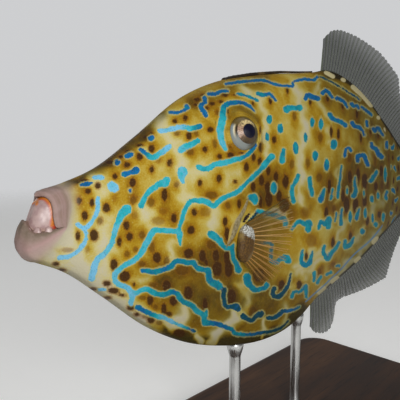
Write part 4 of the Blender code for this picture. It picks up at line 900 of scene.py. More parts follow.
def seen_at(points):
    """Where the camera sees places of the near side, as rows of (across, down)."""
    ahead, right, up = camera_axes()
    offset = points - CAMERA_AT
    depth = offset @ ahead
    across = FRAME_SIZE / 2 + FOCAL_LENGTH * (offset @ right) / depth
    down = FRAME_SIZE / 2 - FOCAL_LENGTH * (offset @ up) / depth
    return np.stack([across, down], -1)


def dense_stroke(places, *rows):
    """A stroke as close points, with each row of values spread evenly along it."""
    places = np.array(places, float)
    steps = np.linalg.norm(np.diff(places, axis=0), axis=1)
    travelled = np.concatenate([[0.0], np.cumsum(steps)]) / steps.sum()
    share = np.linspace(0.0, 1.0, max(int(steps.sum() / 0.8), 3))
    if len(places) > 2:
        line = smooth_through(np.column_stack([travelled, places]), share)
    else:
        line = places[0] + (places[1] - places[0]) * share[:, None]
    spread = [np.interp(share, np.linspace(0.0, 1.0, len(row)), row) for row in rows]
    return line, spread


def near_box(at, low, high, margin):
    """Rows of places that lie in a box with a margin round it."""
    inside = (at > np.asarray(low) - margin) & (at < np.asarray(high) + margin)
    return np.nonzero(inside.all(axis=1))[0]


def lay_strokes(at, strokes):
    """Distance outside the nearest stroke and that stroke's tone, at rows of places."""
    distance = np.full(len(at), FAR)
    tone = np.full(len(at), 1.5)
    for tones, widths, places in strokes:
        line, (half, shades) = dense_stroke(places, widths, tones)
        rows = near_box(at, line.min(axis=0), line.max(axis=0), FAR + half.max())
        if not len(rows):
            continue
        gaps = np.linalg.norm(at[rows, None, :] - line[None, :, :], axis=2) - half
        nearest = gaps.argmin(axis=1)
        gap = gaps[np.arange(len(rows)), nearest]
        closer = gap < distance[rows]
        distance[rows[closer]] = gap[closer]
        tone[rows[closer]] = shades[nearest[closer]]
    return distance, tone


def outside_line(at, half_width, places):
    """Distance outside one stroke of even width, at rows of places."""
    return lay_strokes(at, [((0, 0), (half_width, half_width), places)])[0]


def lay_dots(at, dots):
    """Distance outside the nearest oval dot, at rows of places."""
    distance = np.full(len(at), FAR)
    for across, down, half_width, half_height in dots:
        reach = np.array([half_width, half_height])
        rows = near_box(at, (across, down), (across, down), FAR + reach.max())
        stretched = np.linalg.norm((at[rows] - (across, down)) / reach, axis=1)
        gap = (stretched - 1.0) * math.sqrt(half_width * half_height)
        distance[rows] = np.minimum(distance[rows], gap)
    return distance


def lay_bands(at, bands):
    """Strength of the strongest soft band at rows of places."""
    strength = np.zeros(len(at))
    for peak, half_width, places in bands:
        line, _ = dense_stroke(places)
        rows = near_box(at, line.min(axis=0), line.max(axis=0), half_width * 3.0)
        if not len(rows):
            continue
        gap = np.linalg.norm(at[rows, None, :] - line[None, :, :], axis=2).min(axis=1)
        fade = np.exp(-(gap / (BAND_SOFTNESS * half_width)) ** 2)
        strength[rows] = np.maximum(strength[rows], peak * fade)
    return strength


def rear_marks():
    """Seeded blue dashes and brown spots of the rear body, in frame units of (s, z)."""
    rng = np.random.default_rng(41)
    dashes, spots = [], []
    for column, s in enumerate(np.arange(SEEN_TO_S - 0.01, TAIL_FIN_S, REAR_STEP)):
        top = smooth_through(BACK_LINE, s) - REAR_MARGIN
        bottom = smooth_through(BELLY_LINE, s) + REAR_MARGIN
        count = max(int((top - bottom) / REAR_ROW), 2)
        for row in range(count):
            z = bottom + (top - bottom) * (row + 0.5 + 0.25 * (column % 2)) / (count + 0.25)
            centre = np.array([s + rng.uniform(-0.003, 0.003), z]) / REAR_UNIT
            if (row + column) % 2:
                spots.append((*centre, rng.uniform(2.2, 3.4), rng.uniform(2.6, 4.2)))
                continue
            reach = np.array([rng.uniform(3.0, 7.5), rng.uniform(-3.0, 3.0)])
            bend = np.array([0.0, rng.uniform(-1.6, 1.6)])
            places = [centre - reach, centre + bend, centre + reach]
            dashes.append(((1.8, 1.8), (1.7, 2.3, 1.5), places))
    return dashes, spots


def marks_at(at):
    """Fields of the markings at rows of (across, down)."""
    scrawl, tone = lay_strokes(at, ALL_SCRAWLS)
    dots = lay_dots(at, BLUE_DOTS)
    dark, ochre, faint = (lay_dots(at, spots) for spots in (DARK_SPOTS, OCHRE_SPOTS, FAINT_SPOTS))
    spot = np.minimum(np.minimum(dark, ochre), faint)
    flat = np.column_stack([at, np.zeros(len(at))])
    ragged = np.stack([waves(flat, 7.0, 51) + waves(flat, 16.0, 52),
                       waves(flat, 8.0, 53) + waves(flat, 18.0, 54)], -1)
    soft_at = at + ragged * 2.4
    return {"scrawl": np.minimum(scrawl, dots),
            "tone": np.where(dots < scrawl, 1.5, tone),
            "spot": spot,
            "depth": np.where(dark <= spot, 1.0, np.where(ochre <= spot, 0.55, 0.3)),
            "pale": lay_bands(soft_at, PALE_BANDS),
            "olive_and_shade": lay_bands(soft_at, OLIVE_AND_SHADE_BANDS),
            "patch": np.min([outside_line(at, *patch) for patch in CREST_PATCHES], axis=0),
            "line": outside_line(at, *CREST_LINE)}


def rear_marks_at(points):
    """Fields of the seeded marks at rows of (s, y, z), with an even dark olive share that is
    partly painted shade.
    """
    dashes, spots = rear_marks()
    at = points[:, [0, 2]] / REAR_UNIT
    scrawl, tone = lay_strokes(at, dashes)
    none = np.full(len(at), FAR)
    return {"scrawl": scrawl, "tone": tone, "spot": lay_dots(at, spots),
            "depth": np.ones(len(at)), "olive_and_shade": np.full(len(at), 0.45),
            "pale": np.clip(0.25 + 0.5 * waves(points, 0.012, 21), 0.0, 0.7),
            "patch": none, "line": none}


def folded(points):
    """The same places with both sides of the fish laid on the near one."""
    near = points.copy()
    near[:, 1] = -np.abs(points[:, 1])
    return near


def marking_fields(points):
    """Markings at places of the skin; the far side's copy wanders off the near one."""
    near = folded(points)
    wander = np.stack([waves(near, 0.022, 31), waves(near, 0.022, 32)], -1) * WANDER
    at = seen_at(near) + wander * smooth_step(0.0, 0.002, points[:, 1])[:, None]
    seen, rear = marks_at(at), rear_marks_at(near)
    share = smooth_step(SEEN_TO_S - REAR_FADE, SEEN_TO_S, near[:, 0])
    fields = {key: seen[key] * (1.0 - share) + rear[key] * share for key in seen}
    to_edge = np.minimum(smooth_through(BACK_LINE, near[:, 0]) - near[:, 2],
                         near[:, 2] - smooth_through(BELLY_LINE, near[:, 0]))
    crest = 1.0 - smooth_step(*CREST_DEPTH, to_edge)
    fields["crest"] = CREST_STRENGTH * crest * smooth_step(*CREST_START, near[:, 0])
    return fields


def mirrored(points, side):
    """Near-side points as they are for side -1, and turned over for side 1."""
    return points * np.array([1.0, -side, 1.0])


def sided(name, side):
    """A name with the side of the fish that it stands for."""
    return name + ("_left" if side < 0 else "_right")


def sided_piece(name, side, rows, closed, fields, node):
    """A piece of one side of the fish, from rows of near-side points."""
    points = np.stack(rows).reshape(-1, 3)
    faces, uvs = grid(len(rows), len(rows[0]), closed, flip=(side < 0) == closed)
    return make_piece(sided(name, side), to_model(mirrored(points, side)), faces, uvs,
                      fields, (node,))


def make_skin():
    """The whole skin with its lips, as one mesh."""
    half = skin_half_rings()
    shaped = shape_skin(half.reshape(-1, 3)).reshape(half.shape)
    shaped[:, [0, -1], 1] = 0.0
    rings = np.concatenate([shaped, mirrored(shaped[:, -2:0:-1], 1)], axis=1)
    rows, columns = rings.shape[:2]
    points = rings.reshape(-1, 3)
    fields = marking_fields(points)
    row = np.repeat(np.arange(rows), columns)
    lining = len(MOUTH_LINING)
    lip_start = LIP_RINGS + lining
    fields["lip"] = 1.0 - smooth_step(lip_start - 4, lip_start + 5, row)
    fields["inside"] = 1.0 - smooth_step(lining - 0.5, lining + 1.5, row)
    fields["throat"] = 1.0 - smooth_step(0.0, lining - 1.0, row)
    fields["band"] = np.clip((row - lining) / LIP_RINGS, 0.0, 1.4)
    turn = np.arange(columns)
    share = np.minimum(turn, columns - turn) / SIDE_POINTS
    fields["upper"] = np.tile(smooth_step(CORNER_SHARE - 0.03, CORNER_SHARE + 0.03, share), rows)
    faces, uvs = capped_grid(rows, columns)
    return make_piece("skin", to_model(points), faces, uvs, fields,
                      ("head", "trunk", "tail", "lip_upper", "lip_lower"))


def make_lids(side):
    """Fine skin round one eye, which rolls over the edge of the opening."""
    turn = np.linspace(-180.0, 180.0, LID_COLUMNS, endpoint=False)
    opening = along(LID_OPENING, turn)
    edge = opening + LID_STEP
    edge_height = lid_height(edge, turn, body_height_at(edge, turn))
    rows = [eye_place(opening + step, turn, edge_height + sink) for step, sink in LID_ROLL]
    crease_depth, crease_at, crease_width = LID_CREASE
    for share in np.linspace(0.0, 1.0, LID_ROWS):
        radius = edge + (LID_REACH - edge) * share ** 1.3
        height = lid_height(radius, turn, body_height_at(radius, turn))
        crease = crease_depth * np.exp(-((radius - opening - crease_at) / crease_width) ** 2)
        lift = LID_LIFT - LID_SINK * smooth_step(0.75, 1.0, share)
        rows.append(eye_place(radius, turn, height + lift - crease))
    points = mirrored(np.concatenate(rows), side)
    fields = marking_fields(points)
    for field in ("lip", "inside", "throat", "band", "upper"):
        fields[field] = np.zeros(len(points))
    # The rows that roll down into the opening are darkened: painted shade in the gap by the
    # eyeball
    fields["rim"] = np.repeat([1.0, 1.0, 0.9, 0.5] + [0.0] * LID_ROWS, LID_COLUMNS)
    return sided_piece("lids", side, rows, True, fields, "head")


def make_eyeball(side):
    """An eyeball with a raised cornea, drawn finer towards its front."""
    rings, columns = EYEBALL_GRID
    polar = EYEBALL_END * np.linspace(0.0, 1.0, rings) ** 1.15
    turn = np.linspace(-180.0, 180.0, columns, endpoint=False)
    rows = []
    for angle in polar:
        rise = CORNEA_RISE * (1.0 - smooth_step(0.0, IRIS_ANGLE + 8.0, angle))
        ridge = 0.00010 * math.exp(-((angle - PUPIL_ANGLE - 1.5) / 1.6) ** 2)
        ridge += 0.00012 * math.exp(-((angle - IRIS_ANGLE) / 2.2) ** 2)
        reach = EYE_RADIUS + rise + ridge
        around = np.full(columns, reach * math.sin(math.radians(angle)))
        high = np.full(columns, reach * math.cos(math.radians(angle)))
        rows.append(eye_place(around, turn, high, EYE_GAZE))
    spread = np.radians(np.tile(turn, rings))
    fields = {"polar": np.repeat(polar, columns), "up": np.cos(spread), "fore": np.sin(spread)}
    return sided_piece("eyeball", side, rows, True, fields, sided("eye", side))


def make_gill_flap(side):
    """The thin free edge of the gill cover: flush in front, standing proud behind."""
    shares, across = np.linspace(0.0, 1.0, FLAP_GRID[0]), np.linspace(-1.0, 1.0, FLAP_GRID[1])
    rise = smooth_step(-1.0, 0.35, across) * (1.0 - smooth_step(0.62, 1.0, across) * 1.7)
    rows = []
    for share in shares:
        s, z, half = smooth_through(FLAP_LINE, share)
        taper = math.sin(math.pi * min(max(share, 0.03), 0.97)) ** 0.5
        at_s = s + half * across
        at_z = z + 0.30 * half * across
        out = FLAP_RISE * taper * rise - 0.0002
        rows.append(np.stack([at_s, -body_half_width_at(at_s, at_z) - out, at_z], -1))
    fields = marking_fields(np.concatenate(rows))
    fields["front"] = np.tile(across, len(shares))
    fields["down"] = np.repeat(shares, len(across))
    return sided_piece("gill_flap", side, rows, False, fields, "head")


def make_gill_gap_shade(side):
    """A near-black sheet of painted shade in the gill opening, sunk behind the flap."""
    bottom, across = np.array(GAP_BOTTOM), np.linspace(-1.0, 1.0, GAP_GRID[1])
    rows = []
    for share in np.linspace(0.0, 1.0, GAP_GRID[0]):
        width = 1.2 * GAP_HALF_WIDTH * max(math.sin(math.pi * share), 0.04)
        s, z = bottom + (np.array(GAP_TOP) - bottom) * share
        at_s, at_z = s + 0.7 * width * across, z - 0.7 * width * across
        y = -body_half_width_at(at_s, at_z) + 0.0007 + 0.0003 * (1.0 - across ** 2)
        rows.append(np.stack([at_s, y, at_z], -1))
    return sided_piece("gill_gap_shade", side, rows, False, None, "trunk")


def curved_ray(root, reach, slope, lean, direction, u):
    """A point on a ray that leaves its root upright and bends over to its slope and lean."""
    tip = np.array([math.sin(slope) * math.cos(lean), math.sin(lean),
                    direction * math.cos(slope) * math.cos(lean)]) * reach
    start = np.array([math.sin(0.8 * slope), 0.3 * math.sin(lean),
                      direction * math.cos(0.8 * slope)])
    middle = unit(start) * reach * 0.5
    return root + middle * (2.0 * u * (1.0 - u)) + tip * u ** 2


def ray_strength(phase, u, branch, width=0.16):
    """How much a place across a fin belongs to a ray, which forks beyond the branch."""
    off = abs(phase - round(phase))
    single = math.exp(-(off / width) ** 2)
    fork = 0.17 * min(max((u - branch) / (1.0 - branch), 0.0), 1.0) ** 0.7
    double = math.exp(-((off - fork) / 0.085) ** 2)
    share = min(max((u - branch) / 0.12, 0.0), 1.0)
    return single * (1.0 - share) + double * share


def thin_sheet(name, centres, halves, fields, node):
    """A closed thin piece over a grid of centre points, alike on both faces."""
    rows, columns = halves.shape
    normal = unit(np.cross(np.gradient(centres, axis=1), np.gradient(centres, axis=0)))
    normal *= np.sign(normal[..., 1:2] + 1e-12)
    lift = normal * halves[..., None]
    points = np.concatenate([(centres + lift).reshape(-1, 3), (centres - lift).reshape(-1, 3)])
    faces, uvs = grid(rows, columns)
    count = rows * columns
    number = np.arange(count).reshape(rows, columns)
    border = [*number[0], *number[1:, -1], *number[-1, -2::-1], *number[-2:0:-1, 0]]
    rim = [[a, b, b + count, a + count] for a, b in zip(border, border[1:] + border[:1])]
    half_uvs = uvs * np.array([0.48, 1.0])
    back_uvs = half_uvs.reshape(-1, 4, 2)[:, ::-1].reshape(-1, 2) + np.array([0.5, 0.0])
    rim_uvs = [(0.99, i / len(rim)) for i in range(len(rim)) for _ in range(4)]
    doubled = {key: np.concatenate([values.ravel()] * 2) for key, values in fields.items()}
    return make_piece(name, points, [*faces, *(faces[:, ::-1] + count), *rim],
                      np.concatenate([half_uvs, back_uvs, rim_uvs]), doubled, (node,))


def ray_sheet(name, slot, rows, columns, ray_at, node, **more):
    """A thin fin over a grid of rays.

    ray_at gives a column's own function of the way out from 0 to 1, and that function
    gives the point, half thickness, share of a ray and reach there. more holds other fields.
    """
    shape = (rows + 1, columns)
    centres, halves = np.zeros(shape + (3,)), np.zeros(shape)
    strength, reach = np.zeros(shape), np.zeros(shape)
    for c in range(columns):
        place = ray_at(c)
        for r in range(rows + 1):
            centres[r, c], halves[r, c], strength[r, c], reach[r, c] = place(r / rows)
    fields = {"ray": strength, "reach": reach, "out": reach / reach.max(), **more}
    return thin_sheet(name, centres, halves, fields, node)


def median_fin(name, span, rays, tables, line, direction, node):
    """A long fin along the back or the belly; direction is 1 upward and -1 downward."""
    columns = RAY_COLUMNS * (rays - 1) + 1

    def ray_at(c):
        v = c / (columns - 1)
        phase = v * (rays - 1)
        s = span[0] + (span[1] - span[0]) * v
        root = at_place(s, 0.0, float(smooth_through(line, s)) - direction * FIN_SINK)
        length, slope, lean = (float(along(table, v)) for table in tables)
        slope, lean = math.radians(slope), math.radians(lean)
        reach = length * (1.0 - 0.030 * (1.0 - ray_strength(phase, 0.99, 0.5)))

        def place(u):
            strength = ray_strength(phase, u, 0.62, 0.12)
            point = curved_ray(root, reach, slope, lean, direction, u)
            point[1] += 0.00018 * math.sin(phase * math.pi) * u
            full = FIN_ROOT_HALF + (FIN_EDGE_HALF * 0.55 - FIN_ROOT_HALF) * u ** 0.7
            web = WEB_HALF + (FIN_ROOT_HALF - WEB_HALF) * (1.0 - u) ** 8
            half = web + max(full - web, 0.0) * strength
            return point, half, strength, u * reach * 1000.0
        return place
    return ray_sheet(name, "fin", MEDIAN_ROWS, columns, ray_at, node)


def make_tail_fin():
    """The long rounded tail fin, with rays that fork."""
    columns = TAIL_RAY_COLUMNS * (TAIL_RAYS - 1) + 1
    middle_length = TOTAL_LENGTH - TAIL_FIN_S - FIN_GAP

    def ray_at(c):
        v = 2.0 * c / (columns - 1) - 1.0
        phase = c / TAIL_RAY_COLUMNS
        angle = math.radians(TAIL_SPREAD) * v
        full = middle_length + (TAIL_OUTER_LENGTH - middle_length) * abs(v) ** TAIL_ROUNDING
        full *= 1.0 - 0.012 * (1.0 - ray_strength(phase, 0.99, 0.4))

        def place(u):
            strength = ray_strength(phase, u, 0.4)
            reach = u * full
            ripple = 0.0005 * math.sin(phase * math.pi * 2.0) * u
            point = at_place(TAIL_FIN_S + FIN_GAP + reach * math.cos(angle),
                             TAIL_BEND * u ** 2 + ripple,
                             TAIL_ROOT_HALF_HEIGHT * v + reach * math.sin(angle))
            half = (TAIL_ROOT_HALF - FIN_EDGE_HALF) * (1.0 - u) ** TAIL_TAPER + WEB_HALF
            half += (0.00052 - 0.00022 * u) * strength * min(u * 8.0, 1.0)
            return point, half, strength, reach * 1000.0
        return place
    return ray_sheet("tail_fin_web", "fin", TAIL_ROWS, columns, ray_at, "tail_fin")


def make_pectoral_fin(side):
    """The small see-through fan of one side."""
    columns = PECTORAL_RAY_COLUMNS * (PECTORAL_RAYS - 1) + 1
    (s_top, z_top), (s_low, z_low) = PECTORAL_BASE

    def ray_at(c):
        v, phase = c / (columns - 1), c / PECTORAL_RAY_COLUMNS
        slope = math.radians(PECTORAL_SLOPE[0] + (PECTORAL_SLOPE[1] - PECTORAL_SLOPE[0]) * v)
        length = float(along(PECTORAL_LENGTH, v)) * (1.0 + 0.015 * math.sin(phase * 2.3))
        length *= 1.0 - 0.04 * (1.0 - ray_strength(phase, 0.99, 0.22))

        def place(u):
            strength = ray_strength(phase, u, 0.22)
            s = s_top + (s_low - s_top) * v + length * u * math.cos(slope)
            z = z_top + (z_low - z_top) * v + length * u * math.sin(slope)
            ripple = 0.0004 * math.sin(phase * math.pi) * u
            out = body_half_width_at(s, z) + PECTORAL_ROOT_HALF + FIN_GAP + PECTORAL_FLARE * u
            full = PECTORAL_ROOT_HALF * (0.50 - 0.38 * u ** 0.5)
            half = PECTORAL_WEB_HALF + (full - PECTORAL_WEB_HALF) * strength
            return at_place(s, side * (out + ripple), z), half, strength, PECTORAL_JOINTS * u
        return place
    low = np.tile(np.linspace(0.0, 1.0, columns), (PECTORAL_ROWS + 1, 1))
    return ray_sheet(sided("pectoral_web", side), "fin", PECTORAL_ROWS, columns, ray_at,
                     sided("pectoral_fin", side), low=low)


def make_lobe(side):
    """The scaly fleshy root of the pectoral fin, ridged towards the rays."""
    rings, columns = LOBE_GRID
    s, z = LOBE_PLACE
    centre = np.array([s, -float(body_half_width_at(s, z)) - LOBE_LIFT, z])
    turn = 2.0 * math.pi * np.arange(columns) / columns
    rows, ridges = [], []
    for polar in math.pi * 0.62 * np.linspace(0.0, 1.0, rings):
        flat = np.stack([np.sin(polar) * np.cos(turn), np.full(columns, -math.cos(polar)),
                         np.sin(polar) * np.sin(turn)], -1)
        boxed = np.sign(flat) * np.abs(flat) ** 0.86
        wave = np.sin(turn * LOBE_RIDGES) * smooth_step(0.25, 0.7, math.sin(polar))
        ridge = np.maximum(wave * smooth_step(-0.4, 0.3, np.cos(turn)), 0.0)
        row = centre + boxed * np.array(LOBE_RADII) * (1.0 + 0.02 * ridge)[:, None]
        row[:, 0] += LOBE_LEAN * (row[:, 2] - z)
        rows.append(row)
        ridges.append(ridge)
    points = np.concatenate(rows)
    fields = {"high": (points[:, 2] - z) / LOBE_RADII[2], "ridge": np.concatenate(ridges),
              "back": (points[:, 0] - s) / LOBE_RADII[0]}
    return sided_piece("pectoral_lobe", side, rows, True, fields,
                       sided("pectoral_fin", side))


def tube(name, path, radii, sides, node):
    """A round piece along a path, closed at both ends."""
    tangent = unit(np.gradient(path, axis=0))
    across = unit(np.cross(tangent, np.array([0.0, 1.0, 0.0])) + 1e-12)
    other = np.cross(tangent, across)
    turn = 2.0 * math.pi * np.arange(sides)[None, :, None] / sides
    ring = across[:, None] * np.cos(turn) + other[:, None] * np.sin(turn)
    points = path[:, None] + ring * radii[:, None, None]
    faces, uvs = capped_grid(len(path), sides)
    return make_piece(name, to_model(points.reshape(-1, 3)), faces, uvs, None, (node,))


def make_spine():
    """The first dorsal spine, folded back in its groove, with small barbs on it."""
    share = np.linspace(0.0, 1.0, SPINE_STEPS + 1)
    s = SPINE_SPAN[0] + (SPINE_SPAN[1] - SPINE_SPAN[0]) * share
    height = smooth_through(BACK_LINE, s) + along(SPINE_LIFT, share)
    barbs = 1.0 + 0.14 * np.maximum(np.sin(share * 150.0), 0.0) ** 3 * (1.0 - share)
    return tube("spine_folded", np.stack([s, np.zeros(len(s)), height], -1),
                along(SPINE_RADII, share) * barbs, SPINE_SIDES, "dorsal_spine")


def make_spine_web():
    """The low fold of skin that holds the spine's root to the back."""
    rows, columns = SPINE_FOLD_GRID

    def ray_at(c):
        share = c / (columns - 1)
        s = SPINE_FOLD_START + SPINE_FOLD_LENGTH * share
        base = float(smooth_through(BACK_LINE, s)) - SPINE_FOLD_SINK
        arch = math.sin(math.pi * min(share * 1.4 + 0.12, 1.0))
        height = SPINE_FOLD_HEIGHT * arch + 0.0001

        def place(u):
            half = SPINE_FOLD_HALF[0] * (1.0 - u) ** 1.5 + SPINE_FOLD_HALF[1]
            return at_place(s, 0.0, base + height * u), half, 0.0, u
        return place
    return ray_sheet("spine_fold", "spine", rows, columns, ray_at, "dorsal_spine")


def boxy_ball(rings, columns, radii, power):
    """A ball with three radii, drawn towards a box by a power below 1."""
    polar = math.pi * np.linspace(0.0, 1.0, rings)[:, None]
    turn = 2.0 * math.pi * np.arange(columns)[None, :] / columns
    ball = np.stack([np.sin(polar) * np.cos(turn), np.sin(polar) * np.sin(turn),
                     np.cos(polar) * np.ones_like(turn)], -1)
    return np.sign(ball) * np.abs(ball) ** power * np.array(radii)


def make_upper_teeth():
    """The front teeth as one chisel plate under the upper lip, with its edge of gum."""
    shape = boxy_ball(*UPPER_TOOTH_GRID, UPPER_TOOTH_RADII, UPPER_TOOTH_BOXINESS)
    outward = unit(shape / np.array(UPPER_TOOTH_RADII) ** 2 + 1e-9).reshape(-1, 3)
    points = (np.array(UPPER_TOOTH_CENTRE) + shape).reshape(-1, 3)
    rise = points[:, 2] - UPPER_TOOTH_CENTRE[2]
    points[:, 0] += UPPER_TOOTH_LEAN * rise
    at = seen_at(folded(points))
    line, corner = outside_line(at, *GUM_LINE), outside_line(at, *GUM_CORNER)
    behind = smooth_step(*GUM_START, points[:, 0])
    gum = np.maximum(1.0 - smooth_step(-0.4, 0.9, np.minimum(line, corner)), behind)
    groove = np.exp(-(points[:, 1] / TOOTH_GROOVE[0]) ** 2) * TOOTH_GROOVE[1]
    groove = groove + 0.00010 * waves(points, 0.0035, 61)
    points = points + outward * (gum * GUM_RISE - groove * (1.0 - gum))[:, None]
    fields = {"gum": gum, "tip": rise * 1000.0,
              "yellow": 1.0 - smooth_step(-0.5, 1.6, np.minimum(corner, line + 1.2)),
              "mouth_shade_share": smooth_step(*MOUTH_SHADE, points[:, 0])}
    faces, uvs = grid(*UPPER_TOOTH_GRID, closed=True, flip=True)
    return make_piece("upper_tooth_plate", to_model(points), faces, uvs, fields,
                      ("teeth_upper",))


def make_lower_teeth():
    """A row of small blunt teeth in the gum of the lower lip."""
    centre_s, reach, half_width, z = LOWER_TOOTH_ARC
    faces, uvs = grid(*LOWER_TOOTH_GRID, closed=True, flip=True)
    shape = boxy_ball(*LOWER_TOOTH_GRID, LOWER_TOOTH_RADII, LOWER_TOOTH_BOXINESS).reshape(-1, 3)
    grids = []
    for place in np.linspace(-1.0, 1.0, LOWER_TEETH):
        angle = math.radians(LOWER_TOOTH_SWEEP * place)
        cos, sin = math.cos(angle), math.sin(angle)
        turned = np.stack([shape[:, 0] * cos + shape[:, 1] * sin,
                           shape[:, 1] * cos - shape[:, 0] * sin, shape[:, 2]], -1)
        points = turned + np.array([centre_s - reach * cos, half_width * sin, z])
        fields = {"gum": 1.0 - smooth_step(z - 0.0002, z + 0.0012, points[:, 2]),
                  "tip": points[:, 2] * 1000.0, "yellow": np.full(len(points), 0.6),
                  "mouth_shade_share": np.zeros(len(points))}
        grids.append((points, faces, uvs, fields))
    points, faces, uvs, fields = join_grids(grids)
    return make_piece("lower_tooth_row", to_model(points), faces, uvs, fields,
                      ("teeth_lower",))


def rounded_outline(half_length, half_width, radius, steps=14):
    """Corner points of a rounded rectangle, counterclockwise from above."""
    outline = []
    corners = [(1, 1, 0), (-1, 1, 90), (-1, -1, 180), (1, -1, 270)]
    for sign_x, sign_y, start in corners:
        centre = np.array([sign_x * (half_length - radius), sign_y * (half_width - radius)])
        for k in range(steps + 1):
            angle = math.radians(start + 90.0 * k / steps)
            outline.append(centre + radius * np.array([math.cos(angle), math.sin(angle)]))
    return np.array(outline)


def make_base():
    """The wooden base, with an ogee edge, its grain running along it."""
    half_size = np.array(BASE_SIZE[:2]) / 2
    centre = at_place(BASE_CENTRE_S, 0.0, 0.0)[:2]
    rings = []
    for inset, z in BASE_PROFILE:
        outline = rounded_outline(*(half_size - inset), BASE_CORNER_RADIUS - inset)
        rings.append(np.column_stack([outline + centre, np.full(len(outline), z)]))
    points = np.concatenate(rings)
    columns = len(rings[0])
    faces, uvs = grid(len(rings), columns, closed=True)
    first = list(range(columns))
    caps = [first[::-1], [(len(rings) - 1) * columns + c for c in first]]
    layouts = [uvs * np.array([0.32, 1.0])]
    for start, cap in zip((0.33, 0.67), caps):
        flat = (points[cap, :2] - centre) / half_size / 2 + 0.5
        layouts.append(flat * np.array([0.32, 1.0]) + np.array([start, 0.0]))
    return make_piece("base_board", points, list(faces) + caps,
                      np.concatenate(layouts), None, ("stand_base",))


def make_rod(name, s):
    """A turned steel rod with a foot collar on the base and a cup under the belly."""
    low, top = BASE_SIZE[2], float(smooth_through(BELLY_LINE, s)) + AXIS_Z
    foot = low + ROD_FOOT_HEIGHT
    profile = [(0.0, low - ROD_DEPTH_IN_BASE), (ROD_RADIUS, low - ROD_DEPTH_IN_BASE)]
    profile += [(radius, low + z) for radius, z in ROD_FOOT]
    profile += [(ROD_RADIUS, foot + (top - ROD_CUP_DEPTH - foot) * k / 6) for k in range(7)]
    profile += [(radius, top + z) for radius, z in ROD_CUP]
    profile += [(ROD_RADIUS, top + ROD_DEPTH_IN_BELLY), (0.0, top + ROD_DEPTH_IN_BELLY)]
    turn = 2.0 * math.pi * np.arange(ROD_SIDES) / ROD_SIDES
    rings = [np.stack([s + NOSE_X + radius * np.cos(turn), radius * np.sin(turn),
                       np.full(ROD_SIDES, z)], -1) for radius, z in profile]
    faces, uvs = grid(len(rings), ROD_SIDES, closed=True)
    return make_piece(name + "_turned", np.concatenate(rings), faces, uvs, None,
                      (name,))


